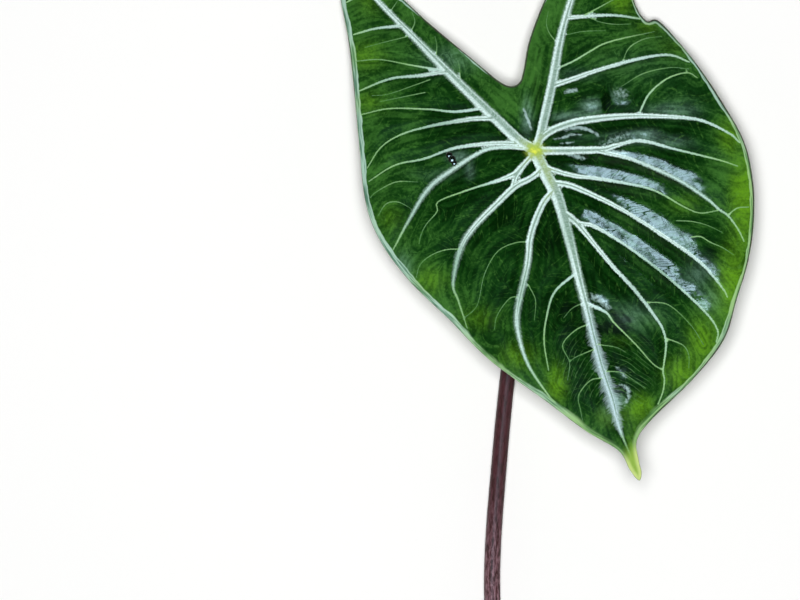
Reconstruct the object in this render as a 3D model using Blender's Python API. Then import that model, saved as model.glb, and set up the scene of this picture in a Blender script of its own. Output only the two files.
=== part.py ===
"""Elephant ear leaf, picked and laid face up on a surface.

The blade arches over its own stalk. It rests on the tips of its two basal lobes and on the stalk's cut end.
The plan is drawn in millimetres, with the joint of blade and stalk at (0, 0), +X across the leaf, +Y towards
the lobes and +Z out of the upper side. stand_on_origin() then scales it to metres and puts the middle of the
leaf's footprint at (0, 0, 0).
"""
import math

import bpy
import numpy as np
from mathutils import Vector
from mathutils.geometry import delaunay_2d_cdt

MM = 0.001

# Blade: thickness between the ribs, height of the joint, and how the blade falls away from it
LAMINA = 0.8
CROWN = 42.0
FALL_TO_LOBES = 0.214
LEAN = 0.028
DOME = 0.00095
DROOP = 0.016
DROOP_FROM = 45.0
DROOP_FULL = 95.0

# Relief: valleys over the main ribs (at the joint, at the far end), pillows between the ribs, a wavy edge
VALLEY = (1.3, 0.4)
VALLEY_REACH = 7.0
PILLOW = 0.09
PILLOW_MAX = 2.2
PILLOW_EDGE = 14.0
WAVE = 1.1
WAVE_COUNT = 17
WAVE_REACH = 11.0

# Hub under the joint, and the stalk that meets it
HUB_RADIUS = 4.2
HUB_SKIRT = 7.5
HUB_DEPTH = 8.0
SEAT_GAP = 0.3
STALK_TOP_RADIUS = 3.5
STALK_FOOT_RADIUS = 4.3
STALK_BEND = 19.0
STALK_NECK = 2.0
STALK_FOOT = 26.0
STALK_SIDES = 14
STALK_STEP = 7.0
STALK_BEND_STEPS = 8

# Spacing of the mesh's points, and the least gap between a flank's or a grid's point and its neighbours
EDGE_STEP = 5.0
RIB_STEP = 5.0
GRID_STEP = 8.0
MIN_GAP = 1.1
FLANK_GAP = 0.6
GRID_GAP = 4.2
HUB_SIDES = 16
CURVE_STEPS = 12
CREASE = 50.0

GREEN = (0.045, 0.13, 0.03, 1.0)
MAUVE = (0.22, 0.10, 0.12, 1.0)

# Outline from the sinus round the right lobe to the drip tip, and back up the left side
MARGIN = [
    (-11.7, 32.0), (-7.0, 34.0), (-5.0, 40.0), (-2.0, 55.0), (5.5, 75.0), (17.0, 99.0), (29.5, 124.0),
    (34.5, 129.0), (38.5, 125.0), (44.0, 102.5), (51.0, 75.0), (57.0, 65.5), (64.0, 65.0), (80.5, 45.0),
    (94.0, 25.0), (105.0, 5.0), (109.5, -15.0), (110.0, -35.0), (107.0, -55.0), (101.0, -75.0),
    (94.5, -95.0), (78.5, -115.0), (58.0, -135.0), (51.0, -145.0), (52.0, -155.0), (53.4, -161.0),
    (52.3, -165.0), (48.0, -160.0), (42.0, -150.0), (25.5, -140.0), (5.5, -125.0), (-22.0, -105.0),
    (-42.0, -85.0), (-62.5, -65.0), (-77.0, -45.0), (-84.3, -25.0), (-87.5, 5.0), (-92.0, 50.0),
    (-96.5, 75.0), (-98.7, 91.0), (-96.0, 99.0), (-91.0, 99.5), (-77.0, 87.5), (-53.5, 65.0),
    (-30.0, 45.0), (-18.0, 35.0),
]

# Main ribs: name, then the route from the joint outwards
MAIN_RIBS = {
    "midrib": [(0.0, 0.0), (7.0, -15.0), (11.5, -25.0), (17.5, -45.0), (22.5, -65.0), (28.0, -85.0),
               (31.5, -105.0), (38.0, -125.0), (42.0, -140.0), (48.0, -152.5), (51.6, -162.0)],
    "left_costa": [(0.0, 0.0), (-8.0, 5.0), (-19.0, 15.0), (-40.0, 35.0), (-67.5, 65.0), (-86.0, 85.0),
                   (-92.5, 95.0)],
    "right_costa": [(0.0, 0.0), (2.5, 5.0), (5.0, 15.0), (9.2, 35.0), (13.0, 55.0), (18.7, 75.0),
                    (28.0, 101.0), (35.0, 124.0)],
}

# Half width and depth of the ribs: at the root, then at the far end
MAIN_HALF_WIDTH = (3.4, 1.0)
MAIN_DEPTH = (4.0, 0.5)
SIDE_HALF_WIDTH = (1.7, 0.9)
SIDE_DEPTH = (1.6, 0.5)

# Side ribs: name, the rib that it leaves, then its route out towards the edge
SIDE_RIBS = [
    ("right_tip", "right_costa", [(21.0, 81.0), (32.0, 86.0), (44.0, 90.0)]),
    ("right_1", "right_costa", [(16.5, 66.0), (33.0, 67.5), (50.5, 66.2)]),
    ("right_2", "right_costa", [(8.5, 32.0), (20.5, 36.5), (43.0, 43.7), (60.5, 48.0), (76.0, 46.0)]),
    ("right_3", "right_costa", [(3.0, 6.5), (9.0, 11.0), (23.0, 15.3), (53.0, 17.6), (83.0, 15.0),
                                (101.0, 6.0)]),
    ("right_4", "midrib", [(0.0, 0.0), (8.0, -0.5), (28.0, 0.2), (46.0, 3.2), (60.5, 3.0), (83.0, -2.0),
                           (102.0, -8.0)]),
    ("right_5", "right_4", [(35.0, 0.5), (53.0, -6.0), (73.0, -15.0), (97.0, -32.5), (103.0, -42.0)]),
    ("right_6", "midrib", [(4.0, -8.0), (13.0, -11.5), (33.0, -14.5), (58.0, -19.5), (75.0, -28.5),
                           (91.0, -31.0)]),
    ("right_7", "midrib", [(8.5, -16.0), (23.0, -19.0), (43.0, -29.5), (83.0, -55.0), (96.0, -73.0)]),
    ("right_8", "midrib", [(15.5, -32.0), (22.0, -38.5), (33.0, -51.5), (53.0, -73.0), (64.0, -91.0),
                           (65.0, -108.0), (62.0, -126.0)]),
    ("right_9", "right_8", [(24.0, -38.5), (38.0, -43.5), (58.0, -56.0), (85.5, -80.5), (91.0, -96.0)]),
    ("right_10", "midrib", [(25.0, -75.0), (35.5, -81.0), (48.0, -93.0), (60.0, -106.0)]),
    ("left_9", "midrib", [(21.5, -61.0), (11.0, -70.0), (5.2, -90.0), (7.0, -109.0)]),
    ("left_8", "midrib", [(9.5, -20.5), (4.5, -27.5), (-2.0, -50.0), (-7.8, -84.0), (-6.0, -100.0),
                          (1.5, -115.0), (8.0, -123.0)]),
    ("left_7", "midrib", [(5.0, -9.5), (-7.0, -18.5), (-22.0, -31.5), (-34.5, -44.0), (-40.5, -65.0),
                          (-34.5, -86.0)]),
    ("left_5", "left_costa", [(-5.0, 3.5), (-14.5, 1.6), (-32.0, -5.0), (-53.0, -19.0), (-69.0, -46.0)]),
    ("left_4", "left_costa", [(-10.5, 7.5), (-22.0, 4.2), (-45.0, -0.5), (-68.0, -7.5), (-81.0, -15.0)]),
    ("left_3", "left_costa", [(-22.0, 18.0), (-32.0, 15.0), (-62.0, 9.5), (-77.0, 1.0), (-83.0, -8.0)]),
    ("left_2", "left_costa", [(-27.0, 22.5), (-47.0, 19.5), (-72.0, 21.0), (-85.0, 18.5)]),
    ("left_1", "left_costa", [(-45.5, 40.5), (-57.0, 37.3), (-72.0, 36.0), (-85.5, 31.0)]),
    ("left_0", "left_costa", [(-48.0, 43.5), (-62.0, 43.8), (-77.0, 46.5), (-87.5, 46.0)]),
    ("left_edge", "left_costa", [(-66.0, 63.5), (-79.5, 61.5), (-90.0, 58.5)]),
    ("left_tip", "left_costa", [(-80.0, 78.0), (-88.0, 78.0), (-94.0, 75.0)]),
]

# The stalk's route in plan
STALK_PLAN = [(0.0, 0.0), (-9.0, -80.0), (-16.5, -152.5), (-20.5, -221.0), (-15.0, -288.0)]


def smooth_route(points, step, closed=False):
    """Evenly spaced points along a Catmull-Rom curve through the given ones."""
    route = [Vector(p) for p in points]
    if closed:
        route = [route[-1]] + route + route[:2]
    else:
        route = [2 * route[0] - route[1]] + route + [2 * route[-1] - route[-2]]
    fine = []
    for before, start, end, after in zip(route, route[1:], route[2:], route[3:]):
        for i in range(CURVE_STEPS):
            t = i / CURVE_STEPS
            fine.append(0.5 * (2 * start + (end - before) * t
                               + (2 * before - 5 * start + 4 * end - after) * t ** 2
                               + (3 * start - before - 3 * end + after) * t ** 3))
    fine.append(route[-2])
    fine = np.array([tuple(p) for p in fine])
    run = np.concatenate([[0.0], np.cumsum(np.linalg.norm(np.diff(fine, axis=0), axis=1))])
    count = max(2, round(run[-1] / step)) + 1
    places = np.linspace(0.0, run[-1], count)
    even = np.stack([np.interp(places, run, axis) for axis in fine.T], axis=1)
    return even[:-1] if closed else even


def distance_to(xy, line):
    """Distance from each point to a polyline, and how far along it the nearest place lies, 0 to 1."""
    leg = np.diff(line, axis=0)
    length = np.linalg.norm(leg, axis=1)
    offset = xy[:, None, :] - line[None, :-1, :]
    share = np.clip((offset * leg).sum(axis=2) / length ** 2, 0.0, 1.0)
    gap = np.linalg.norm(offset - share[:, :, None] * leg, axis=2)
    nearest = gap.argmin(axis=1)
    row = np.arange(len(xy))
    run = np.concatenate([[0.0], np.cumsum(length)])
    return gap[row, nearest], (run[nearest] + share[row, nearest] * length[nearest]) / run[-1]


def ease(value, low, high):
    """0 below low and 1 above high, with a smooth rise between them."""
    t = np.clip((value - low) / (high - low), 0.0, 1.0)
    return t * t * (3.0 - 2.0 * t)


def taper(ends, along):
    """A size that changes evenly from the first end to the second."""
    return ends[0] + (ends[1] - ends[0]) * along


def closed_loop(outline):
    """The outline with its first point repeated at the end."""
    return np.vstack([outline, outline[:1]])


def is_inside(xy, outline):
    """True for each point that lies inside the outline."""
    x, y = xy[:, :1], xy[:, 1:]
    x1, y1 = outline.T
    x2, y2 = np.roll(outline, -1, axis=0).T
    crosses = (y1 > y) != (y2 > y)
    rise = np.where(y2 == y1, 1.0, y2 - y1)
    return (crosses & (x < x1 + (y - y1) / rise * (x2 - x1))).sum(axis=1) % 2 == 1


def draw_ribs():
    """Every rib as evenly spaced points. A side rib starts at a point of the rib that it leaves."""
    ribs = {name: smooth_route(route, RIB_STEP) for name, route in MAIN_RIBS.items()}
    for name, parent, route in SIDE_RIBS:
        line = smooth_route(route, RIB_STEP)
        line[0] = ribs[parent][np.linalg.norm(ribs[parent] - line[0], axis=1).argmin()]
        ribs[name] = line
    return ribs


def upper_side(xy, ribs, outline):
    """Height of the blade's upper side."""
    x, y = xy.T
    height = CROWN - FALL_TO_LOBES * y + LEAN * x - DOME * (x ** 2 + y ** 2)

    # The right lobe curls down on its outer side
    chord = ribs["right_costa"][-1]
    outward = np.maximum((x * chord[1] - y * chord[0]) / np.linalg.norm(chord), 0.0)
    height = height - DROOP * outward ** 2 * ease(y, DROOP_FROM, DROOP_FULL)

    # A wave runs along the edge
    to_edge, along_edge = distance_to(xy, closed_loop(outline))
    height = height + WAVE * np.exp(-to_edge / WAVE_REACH) * np.sin(2 * math.pi * WAVE_COUNT * along_edge)

    # The blade swells between its two nearest ribs and dips over each main rib
    gaps = np.sort(np.stack([distance_to(xy, line)[0] for line in ribs.values()]), axis=0)[:2]
    lane = gaps.sum(axis=0) + 1e-6
    swell = np.minimum(PILLOW * lane, PILLOW_MAX) * 4.0 * gaps[0] * gaps[1] / lane ** 2
    height = height + swell * ease(to_edge, 0.0, PILLOW_EDGE)
    for name in MAIN_RIBS:
        gap, along = distance_to(xy, ribs[name])
        height = height - taper(VALLEY, along) * np.exp(-gap / VALLEY_REACH)
    return height


def thickness(xy, ribs):
    """The lamina with its ribs standing out underneath."""
    rib_depth = np.zeros(len(xy))
    for name, line in ribs.items():
        half_width, depth = (MAIN_HALF_WIDTH, MAIN_DEPTH) if name in MAIN_RIBS else (SIDE_HALF_WIDTH, SIDE_DEPTH)
        gap, along = distance_to(xy, line)
        round_back = 1.0 - (gap / taper(half_width, along)) ** 2
        rib_depth = np.maximum(rib_depth, taper(depth, along) * np.clip(round_back, 0.0, 1.0))
    return LAMINA + rib_depth


def add_clear_points(points, extra, gap):
    """Adds each extra point that lies at least gap from all those already there."""
    for point in extra:
        if np.linalg.norm(points - point, axis=1).min() >= gap:
            points = np.vstack([points, point])
    return points


def plan_points(ribs, outline):
    """Points of the plan, outline first, then the ribs' lines, and the edges that the mesh has to keep."""
    points = [outline]
    edges = [(i, (i + 1) % len(outline)) for i in range(len(outline))]
    count = len(outline)
    for line in ribs.values():
        points.append(line)
        edges += [(count + i, count + i + 1) for i in range(len(line) - 1)]
        count += len(line)
    points = np.vstack(points)

    # Rings round the hub, then a line of points down each flank of every rib
    turn = [2 * math.pi * i / HUB_SIDES for i in range(HUB_SIDES)]
    rings = [(r * math.cos(a), r * math.sin(a)) for r in (HUB_RADIUS, HUB_SKIRT) for a in turn]
    points = add_clear_points(points, np.array(rings), MIN_GAP)
    flanks = []
    for name, line in ribs.items():
        along = np.linspace(0.0, 1.0, len(line))[:, None]
        way = np.gradient(line, axis=0)
        side = np.stack([-way[:, 1], way[:, 0]], axis=1) / np.linalg.norm(way, axis=1)[:, None]
        reach = side * taper(MAIN_HALF_WIDTH if name in MAIN_RIBS else SIDE_HALF_WIDTH, along)
        flanks += [line[1:-1] + reach[1:-1], line[1:-1] - reach[1:-1]]
        if name in MAIN_RIBS:
            flanks += [line[1:-1] + 0.5 * reach[1:-1], line[1:-1] - 0.5 * reach[1:-1]]
    flanks = np.vstack(flanks)
    off_ribs = np.stack([distance_to(flanks, line)[0] for line in ribs.values()]).min(axis=0)
    points = add_clear_points(points, flanks[off_ribs > FLANK_GAP], MIN_GAP)

    # A triangular grid fills the rest
    low, high = outline.min(axis=0), outline.max(axis=0)
    rows = np.arange(low[1], high[1], GRID_STEP * math.sqrt(0.75))
    grid = [(x + (i % 2) * GRID_STEP / 2, y) for i, y in enumerate(rows)
            for x in np.arange(low[0], high[0], GRID_STEP)]
    points = add_clear_points(points, np.array(grid), GRID_GAP)
    to_edge = distance_to(points, closed_loop(outline))[0]
    kept = is_inside(points, outline) & (to_edge > MIN_GAP)
    kept[:count] = True
    return points[kept], edges


def new_object(name, vertices, faces, colour, roughness):
    """A named object with its own material."""
    mesh = bpy.data.meshes.new(name)
    mesh.from_pydata([tuple(v) for v in vertices], [], faces)
    mesh.validate()
    material = bpy.data.materials.new(name)
    material.use_nodes = True
    shader = material.node_tree.nodes["Principled BSDF"]
    shader.inputs["Base Color"].default_value = colour
    shader.inputs["Roughness"].default_value = roughness
    mesh.materials.append(material)
    item = bpy.data.objects.new(name, mesh)
    bpy.context.scene.collection.objects.link(item)
    mesh.shade_smooth()
    mesh.set_sharp_from_angle(angle=math.radians(CREASE))
    return item


def build_blade():
    """The blade: one triangulated plan, lifted to an upper and a lower side and walled round the edge."""
    outline = smooth_route(MARGIN, EDGE_STEP, closed=True)
    ribs = draw_ribs()
    points, edges = plan_points(ribs, outline)
    plan, _, triangles, _, _, _ = delaunay_2d_cdt([Vector(p) for p in points], edges, [], 1, 1e-5, False)
    xy = np.array([tuple(p) for p in plan])
    triangles = np.array(triangles)
    triangles = triangles[is_inside(xy[triangles].mean(axis=1), outline)]

    top = upper_side(xy, ribs, outline)
    bottom = top - thickness(xy, ribs)
    from_joint = np.linalg.norm(xy, axis=1)
    hub = 1.0 - ease(from_joint, HUB_RADIUS, HUB_SKIRT)
    hub_floor = top[from_joint.argmin()] - HUB_DEPTH
    bottom = bottom + (hub_floor - bottom) * hub

    # Where the lobes touch the surface they lie flat on it
    bottom = np.maximum(bottom, 0.0)
    top = np.maximum(top, bottom + LAMINA)

    count = len(xy)
    vertices = np.vstack([np.column_stack([xy, top]), np.column_stack([xy, bottom])])
    faces = [tuple(int(i) for i in t) for t in triangles]
    rim = {(t[i], t[(i + 1) % 3]) for t in faces for i in range(3)}
    rim = [(a, b) for a, b in sorted(rim) if (b, a) not in rim]
    faces += [(c + count, b + count, a + count) for a, b, c in faces]
    faces += [(b, a, a + count) for a, b in rim]
    faces += [(b, a + count, b + count) for a, b in rim]
    return new_object("leaf_blade", vertices, faces, GREEN, 0.35), hub_floor


def stalk_route(top_height):
    """Centre line of the stalk: down from the hub, round a bend, then along to the cut end."""
    plan = smooth_route(STALK_PLAN, STALK_STEP)
    run = np.linspace(0.0, np.linalg.norm(np.diff(plan, axis=0), axis=1).sum(), len(plan))
    foot_height = STALK_FOOT_RADIUS * math.cos(math.pi / STALK_SIDES)
    knee_height = top_height - STALK_NECK - STALK_BEND
    places = [(0.0, top_height)]
    for i in range(STALK_BEND_STEPS + 1):
        angle = math.pi / 2 * i / STALK_BEND_STEPS
        places.append((STALK_BEND * (1.0 - math.cos(angle)), knee_height + STALK_BEND * (1.0 - math.sin(angle))))
    foot_start = run[-1] - STALK_FOOT
    for s in np.linspace(STALK_BEND, foot_start, round((foot_start - STALK_BEND) / STALK_STEP))[1:]:
        share = (s - STALK_BEND) / (foot_start - STALK_BEND)
        places.append((s, foot_height + (knee_height - foot_height) * (1.0 - share) ** 2))
    places.append((run[-1], foot_height))
    s, z = np.array(places).T
    return np.column_stack([np.interp(s, run, plan[:, 0]), np.interp(s, run, plan[:, 1]), z])


def build_petiole(top_height):
    """The stalk: a ring of points swept along its centre line, with a flat facet underneath."""
    route = stalk_route(top_height)
    way = np.gradient(route, axis=0)
    way[0] = (0.0, 0.0, -1.0)
    way[-2:, 2] = 0.0
    heading = np.array([STALK_PLAN[1][0], STALK_PLAN[1][1], 0.0])
    run = np.concatenate([[0.0], np.cumsum(np.linalg.norm(np.diff(route, axis=0), axis=1))])
    rings = []
    for centre, ahead, place in zip(route, way, run):
        flat_way = np.array([ahead[0], ahead[1], 0.0])
        flat_way = flat_way if np.linalg.norm(flat_way) > 1e-3 else heading
        side = np.cross(flat_way, (0.0, 0.0, 1.0))
        side = side / np.linalg.norm(side)
        up = np.cross(side, ahead)
        up = up / np.linalg.norm(up)
        share = min(place / (run[-1] - STALK_FOOT), 1.0)
        radius = taper((STALK_TOP_RADIUS, STALK_FOOT_RADIUS), share)
        for i in range(STALK_SIDES):
            angle = 2 * math.pi * (i + 0.5) / STALK_SIDES
            rings.append(centre + radius * (math.sin(angle) * side - math.cos(angle) * up))
    last = (len(route) - 1) * STALK_SIDES
    faces = []
    for start in range(0, last, STALK_SIDES):
        for i in range(STALK_SIDES):
            j = (i + 1) % STALK_SIDES
            faces.append((start + j, start + i, start + STALK_SIDES + i, start + STALK_SIDES + j))
    faces.append(tuple(range(STALK_SIDES)))
    faces.append(tuple(range(last + STALK_SIDES - 1, last - 1, -1)))
    return new_object("petiole", rings, faces, MAUVE, 0.5)


def stand_on_origin(items):
    """Scales the leaf to metres, with the middle of its footprint at the origin."""
    corners = np.array([tuple(v.co) for item in items for v in item.data.vertices])
    low, high = corners.min(axis=0), corners.max(axis=0)
    middle = np.array([(low[0] + high[0]) / 2, (low[1] + high[1]) / 2, low[2]])
    for item in items:
        for vertex in item.data.vertices:
            vertex.co = (np.array(vertex.co) - middle) * MM
        item.data.update()


def main():
    for item in list(bpy.data.objects):
        bpy.data.objects.remove(item, do_unlink=True)
    blade, hub_floor = build_blade()
    petiole = build_petiole(hub_floor - SEAT_GAP)
    stand_on_origin([blade, petiole])


main()
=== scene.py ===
"""Looks of an elephant ear leaf that was picked and laid face up on a pale surface.

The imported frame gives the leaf's place and its two solids. This script grows a finer blade and stalk over
them: a quilted lamina with silver ribs, a pale edge and a drip tip, and a mottled mauve stalk with its cut.
Lengths are in millimetres until a mesh is made, and the plan has the joint of blade and stalk at (0, 0).
"""

import logging
import math
from dataclasses import dataclass, field
from enum import Enum

import bmesh
import bpy
import numpy as np
from mathutils import Matrix, Vector, kdtree, noise
from mathutils.geometry import delaunay_2d_cdt


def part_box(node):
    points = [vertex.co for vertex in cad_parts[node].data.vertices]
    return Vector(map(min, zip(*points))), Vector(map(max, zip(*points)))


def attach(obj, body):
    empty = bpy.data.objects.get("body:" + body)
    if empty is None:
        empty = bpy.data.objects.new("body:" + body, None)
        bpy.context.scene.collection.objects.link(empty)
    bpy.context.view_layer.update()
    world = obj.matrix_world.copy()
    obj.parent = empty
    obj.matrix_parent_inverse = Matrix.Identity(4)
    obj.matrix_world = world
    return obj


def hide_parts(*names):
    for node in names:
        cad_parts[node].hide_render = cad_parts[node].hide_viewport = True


Socket = bpy.types.NodeSocket
Points = list[tuple[float, float]]
Faces = list[tuple[int, ...]]
Fields = dict[str, np.ndarray]

MM = 0.001
BODY = "root"
BLADE_NODE = "leaf_blade"
STALK_NODE = "petiole"
SEAT_GAP = 0.3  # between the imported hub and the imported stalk
SEAT_DEPTH = 0.2  # how far the dressed stalk runs into the hub
TINY = 1e-9
ON_LINE = 1e-6
CHUNK = 1_000_000  # how many pairs of a point and a leg are worked on at once, to save memory
WHITE = "#ffffff"

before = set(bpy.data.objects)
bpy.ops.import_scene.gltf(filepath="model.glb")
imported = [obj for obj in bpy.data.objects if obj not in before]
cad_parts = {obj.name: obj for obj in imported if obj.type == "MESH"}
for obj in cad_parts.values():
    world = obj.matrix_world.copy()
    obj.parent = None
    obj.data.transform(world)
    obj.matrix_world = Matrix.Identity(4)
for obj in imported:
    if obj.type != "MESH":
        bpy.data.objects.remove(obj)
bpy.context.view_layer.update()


def linear(hex_colour: str) -> tuple[float, float, float, float]:
    """Turns an sRGB hex colour into the linear values that a shader takes.

    Args:
        hex_colour: Six hex digits with a leading #.

    Returns:
        Red, green, blue and an alpha of 1.
    """
    parts = [int(hex_colour[i:i + 2], 16) / 255 for i in (1, 3, 5)]
    return (*[c / 12.92 if c <= 0.04045 else ((c + 0.055) / 1.055) ** 2.4 for c in parts], 1.0)


def ease(value: np.ndarray, low: float, high: float) -> np.ndarray:
    """Rises smoothly from 0 at low to 1 at high."""
    t = np.clip((value - low) / (high - low), 0.0, 1.0)
    return t * t * (3.0 - 2.0 * t)


def taper(ends: tuple[float, float], along: np.ndarray) -> np.ndarray:
    """A size that changes evenly from the first end to the second."""
    return ends[0] + (ends[1] - ends[0]) * along


def stations(values: tuple[float, ...], along: np.ndarray) -> np.ndarray:
    """Reads a size from evenly spaced values at each share of the way along."""
    return np.interp(along, np.linspace(0.0, 1.0, len(values)), values)


def soft_least(first: np.ndarray, second: np.ndarray, power: int) -> np.ndarray:
    """The lesser of two sizes, rounded off where they are alike, and more tightly with a higher power."""
    return first * second / (first ** power + second ** power + TINY) ** (1 / power)


def run_of(line: np.ndarray) -> np.ndarray:
    """How far along a line each of its points lies."""
    return np.concatenate([[0.0], np.cumsum(np.linalg.norm(np.diff(line, axis=0), axis=1))])


def left_of(line: np.ndarray, closed: bool = False) -> np.ndarray:
    """Finds which way is left at each point of a line in plan.

    Args:
        line: The line's points.
        closed: Whether it returns to its start.

    Returns:
        Unit vectors, one row each.
    """
    way = np.roll(line, -1, axis=0) - np.roll(line, 1, axis=0) if closed else np.gradient(line, axis=0)
    return np.stack([-way[:, 1], way[:, 0]], axis=1) / np.linalg.norm(way, axis=1)[:, None]


def smooth_route(points: Points, step: float, closed: bool = False) -> np.ndarray:
    """Spaces points evenly along a Catmull-Rom curve.

    Args:
        points: The points that the curve passes through.
        step: Distance between the new points.
        closed: Whether the curve returns to its start.

    Returns:
        The new points, one row each.
    """
    route = [Vector(p) for p in points]
    if closed:
        route = [route[-1]] + route + route[:2]
    else:
        route = [2 * route[0] - route[1]] + route + [2 * route[-1] - route[-2]]
    pieces = 24
    fine = []
    for before, start, end, after in zip(route, route[1:], route[2:], route[3:]):
        for i in range(pieces):
            t = i / pieces
            fine.append(0.5 * (2 * start + (end - before) * t
                               + (2 * before - 5 * start + 4 * end - after) * t ** 2
                               + (3 * start - before - 3 * end + after) * t ** 3))
    fine.append(route[-2])
    fine = np.array([tuple(p) for p in fine])
    run = run_of(fine)
    places = np.linspace(0.0, run[-1], max(2, round(run[-1] / step)) + 1)
    even = np.stack([np.interp(places, run, axis) for axis in fine.T], axis=1)
    return even[:-1] if closed else even


@dataclass
class Nearest:
    """Where points lie beside a line.

    Attributes:
        gap: Each point's distance to the line.
        along: How far along the line the nearest place lies, 0 to 1.
        side: 1 on the line's left and -1 on its right.
        below: 1 straight below the line in plan, -1 straight above it.
        east: 1 straight right of the line in plan, -1 straight left of it.
    """

    gap: np.ndarray
    along: np.ndarray
    side: np.ndarray
    below: np.ndarray
    east: np.ndarray


def measure_line(xy: np.ndarray, line: np.ndarray) -> Nearest:
    """Measures points against a polyline.

    Args:
        xy: The points, one row each.
        line: The polyline's points.

    Returns:
        Where each point lies beside it.
    """
    leg = np.diff(line, axis=0)
    length = np.linalg.norm(leg, axis=1)
    run = run_of(line)
    found = []
    for part in np.array_split(xy, max(1, len(xy) * len(leg) // CHUNK)):
        offset = part[:, None, :] - line[None, :-1, :]
        share = np.clip((offset * leg).sum(axis=2) / length ** 2, 0.0, 1.0)
        away = offset - share[:, :, None] * leg
        gap = np.linalg.norm(away, axis=2)
        row, nearest = np.arange(len(part)), gap.argmin(axis=1)
        least = gap[row, nearest]
        along = (run[nearest] + share[row, nearest] * length[nearest]) / run[-1]
        beside, ahead = offset[row, nearest], leg[nearest]
        side = np.where(ahead[:, 0] * beside[:, 1] > ahead[:, 1] * beside[:, 0], 1.0, -1.0)
        east, above = (away[row, nearest] / (least + ON_LINE)[:, None]).T
        found.append(np.stack([least, along, side, -above, east]))
    return Nearest(*np.concatenate(found, axis=1))


def is_inside(xy: np.ndarray, outline: np.ndarray) -> np.ndarray:
    """Tells which points lie inside an outline.

    Args:
        xy: The points, one row each.
        outline: The outline's points.

    Returns:
        True or False for each point.
    """
    x1, y1 = outline.T
    x2, y2 = np.roll(outline, -1, axis=0).T
    rise = np.where(y2 == y1, 1.0, y2 - y1)
    answers = []
    for part in np.array_split(xy, max(1, len(xy) * len(outline) // CHUNK)):
        x, y = part[:, :1], part[:, 1:]
        crosses = ((y1 > y) != (y2 > y)) & (x < x1 + (y - y1) / rise * (x2 - x1))
        answers.append(crosses.sum(axis=1) % 2 == 1)
    return np.concatenate(answers)


def drop_near(extra: np.ndarray, points: np.ndarray, gap: float) -> np.ndarray:
    """Leaves out the extra points that lie too near to others.

    Args:
        extra: The points to choose from.
        points: The points to keep away from.
        gap: The least distance.

    Returns:
        The extra points that are far enough.
    """
    tree = kdtree.KDTree(len(points))
    for i, point in enumerate(points):
        tree.insert((*point, 0.0), i)
    tree.balance()
    return np.array([p for p in extra if tree.find((*p, 0.0))[2] >= gap])


def new_piece(name: str, vertices: np.ndarray, faces: Faces,
              finishes: list[bpy.types.Material]) -> bpy.types.Object:
    """Makes a smooth mesh object from points in metres.

    Args:
        name: The object's name.
        vertices: The points, one row each.
        faces: The faces, each a tuple of point numbers.
        finishes: The materials, in the order of the faces' numbers for them.

    Returns:
        The object, linked to the scene.
    """
    mesh = bpy.data.meshes.new(name)
    mesh.from_pydata(vertices.tolist(), [], faces)
    for finish in finishes:
        mesh.materials.append(finish)
    mesh.shade_smooth()
    item = bpy.data.objects.new(name, mesh)
    bpy.context.scene.collection.objects.link(item)
    return item


def store(piece: bpy.types.Object, name: str, values: np.ndarray) -> None:
    """Stores a number at each point of a piece, where its materials read it."""
    piece.data.attributes.new(name, "FLOAT", "POINT").data.foreach_set("value", values)


class Step(Enum):
    """What a shader node does: its type, its settings, its inputs in their order here, and its output."""

    PLUS = ("ShaderNodeMath", {"operation": "ADD"}, (0, 1), 0)
    MINUS = ("ShaderNodeMath", {"operation": "SUBTRACT"}, (0, 1), 0)
    TIMES = ("ShaderNodeMath", {"operation": "MULTIPLY"}, (0, 1), 0)
    OVER = ("ShaderNodeMath", {"operation": "DIVIDE"}, (0, 1), 0)
    UNSIGNED = ("ShaderNodeMath", {"operation": "ABSOLUTE"}, (0,), 0)
    LARGER = ("ShaderNodeMath", {"operation": "MAXIMUM"}, (0, 1), 0)
    ZIGZAG = ("ShaderNodeMath", {"operation": "PINGPONG"}, (0, 1), 0)
    FADE = ("ShaderNodeMapRange", {"interpolation_type": "SMOOTHSTEP"}, (0, 1, 2, 3, 4), "Result")
    BLEND = ("ShaderNodeMix", {"data_type": "RGBA"}, (0, 6, 7), 2)
    NOISE = ("ShaderNodeTexNoise", {}, ("Vector", "Scale", "Detail", "Roughness"), "Fac")
    CELLS = ("ShaderNodeTexVoronoi", {}, ("Vector", "Scale"), "Distance")
    JOIN = ("ShaderNodeCombineXYZ", {}, (0, 1, 2), 0)
    HEIGHT = ("ShaderNodeSeparateXYZ", {}, (0,), "Z")
    SCALE = ("ShaderNodeMapping", {}, ("Vector", "Scale"), "Vector")
    BUMP = ("ShaderNodeBump", {}, ("Height", "Distance", "Normal"), "Normal")
    STORED = ("ShaderNodeAttribute", {}, (), "Fac")
    PLACE = ("ShaderNodeTexCoord", {}, (), "Object")
    DIRECTION = ("ShaderNodeTexCoord", {}, (), "Generated")


(PLUS, MINUS, TIMES, OVER, UNSIGNED, LARGER, ZIGZAG, FADE, BLEND,
 NOISE, CELLS, JOIN, HEIGHT, SCALE, BUMP, STORED, PLACE, DIRECTION) = Step


def add_node(tree: bpy.types.NodeTree, step: Step, *values: object, **settings: str) -> Socket:
    """Adds a node with its settings and links.

    Args:
        tree: The node tree that it goes into.
        step: What the node does.
        values: What its inputs hold, in order: a number, a vector, a hex colour or another node's output.
        settings: The node's own properties, besides the step's.

    Returns:
        The node's output.
    """
    kind, fixed, inputs, output = step.value
    node = tree.nodes.new(kind)
    for name, value in (fixed | settings).items():
        setattr(node, name, value)
    for name, value in zip(inputs, values):
        if isinstance(value, Socket):
            tree.links.new(value, node.inputs[name])
        else:
            node.inputs[name].default_value = linear(value) if isinstance(value, str) else value
    return node.outputs[output]


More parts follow.
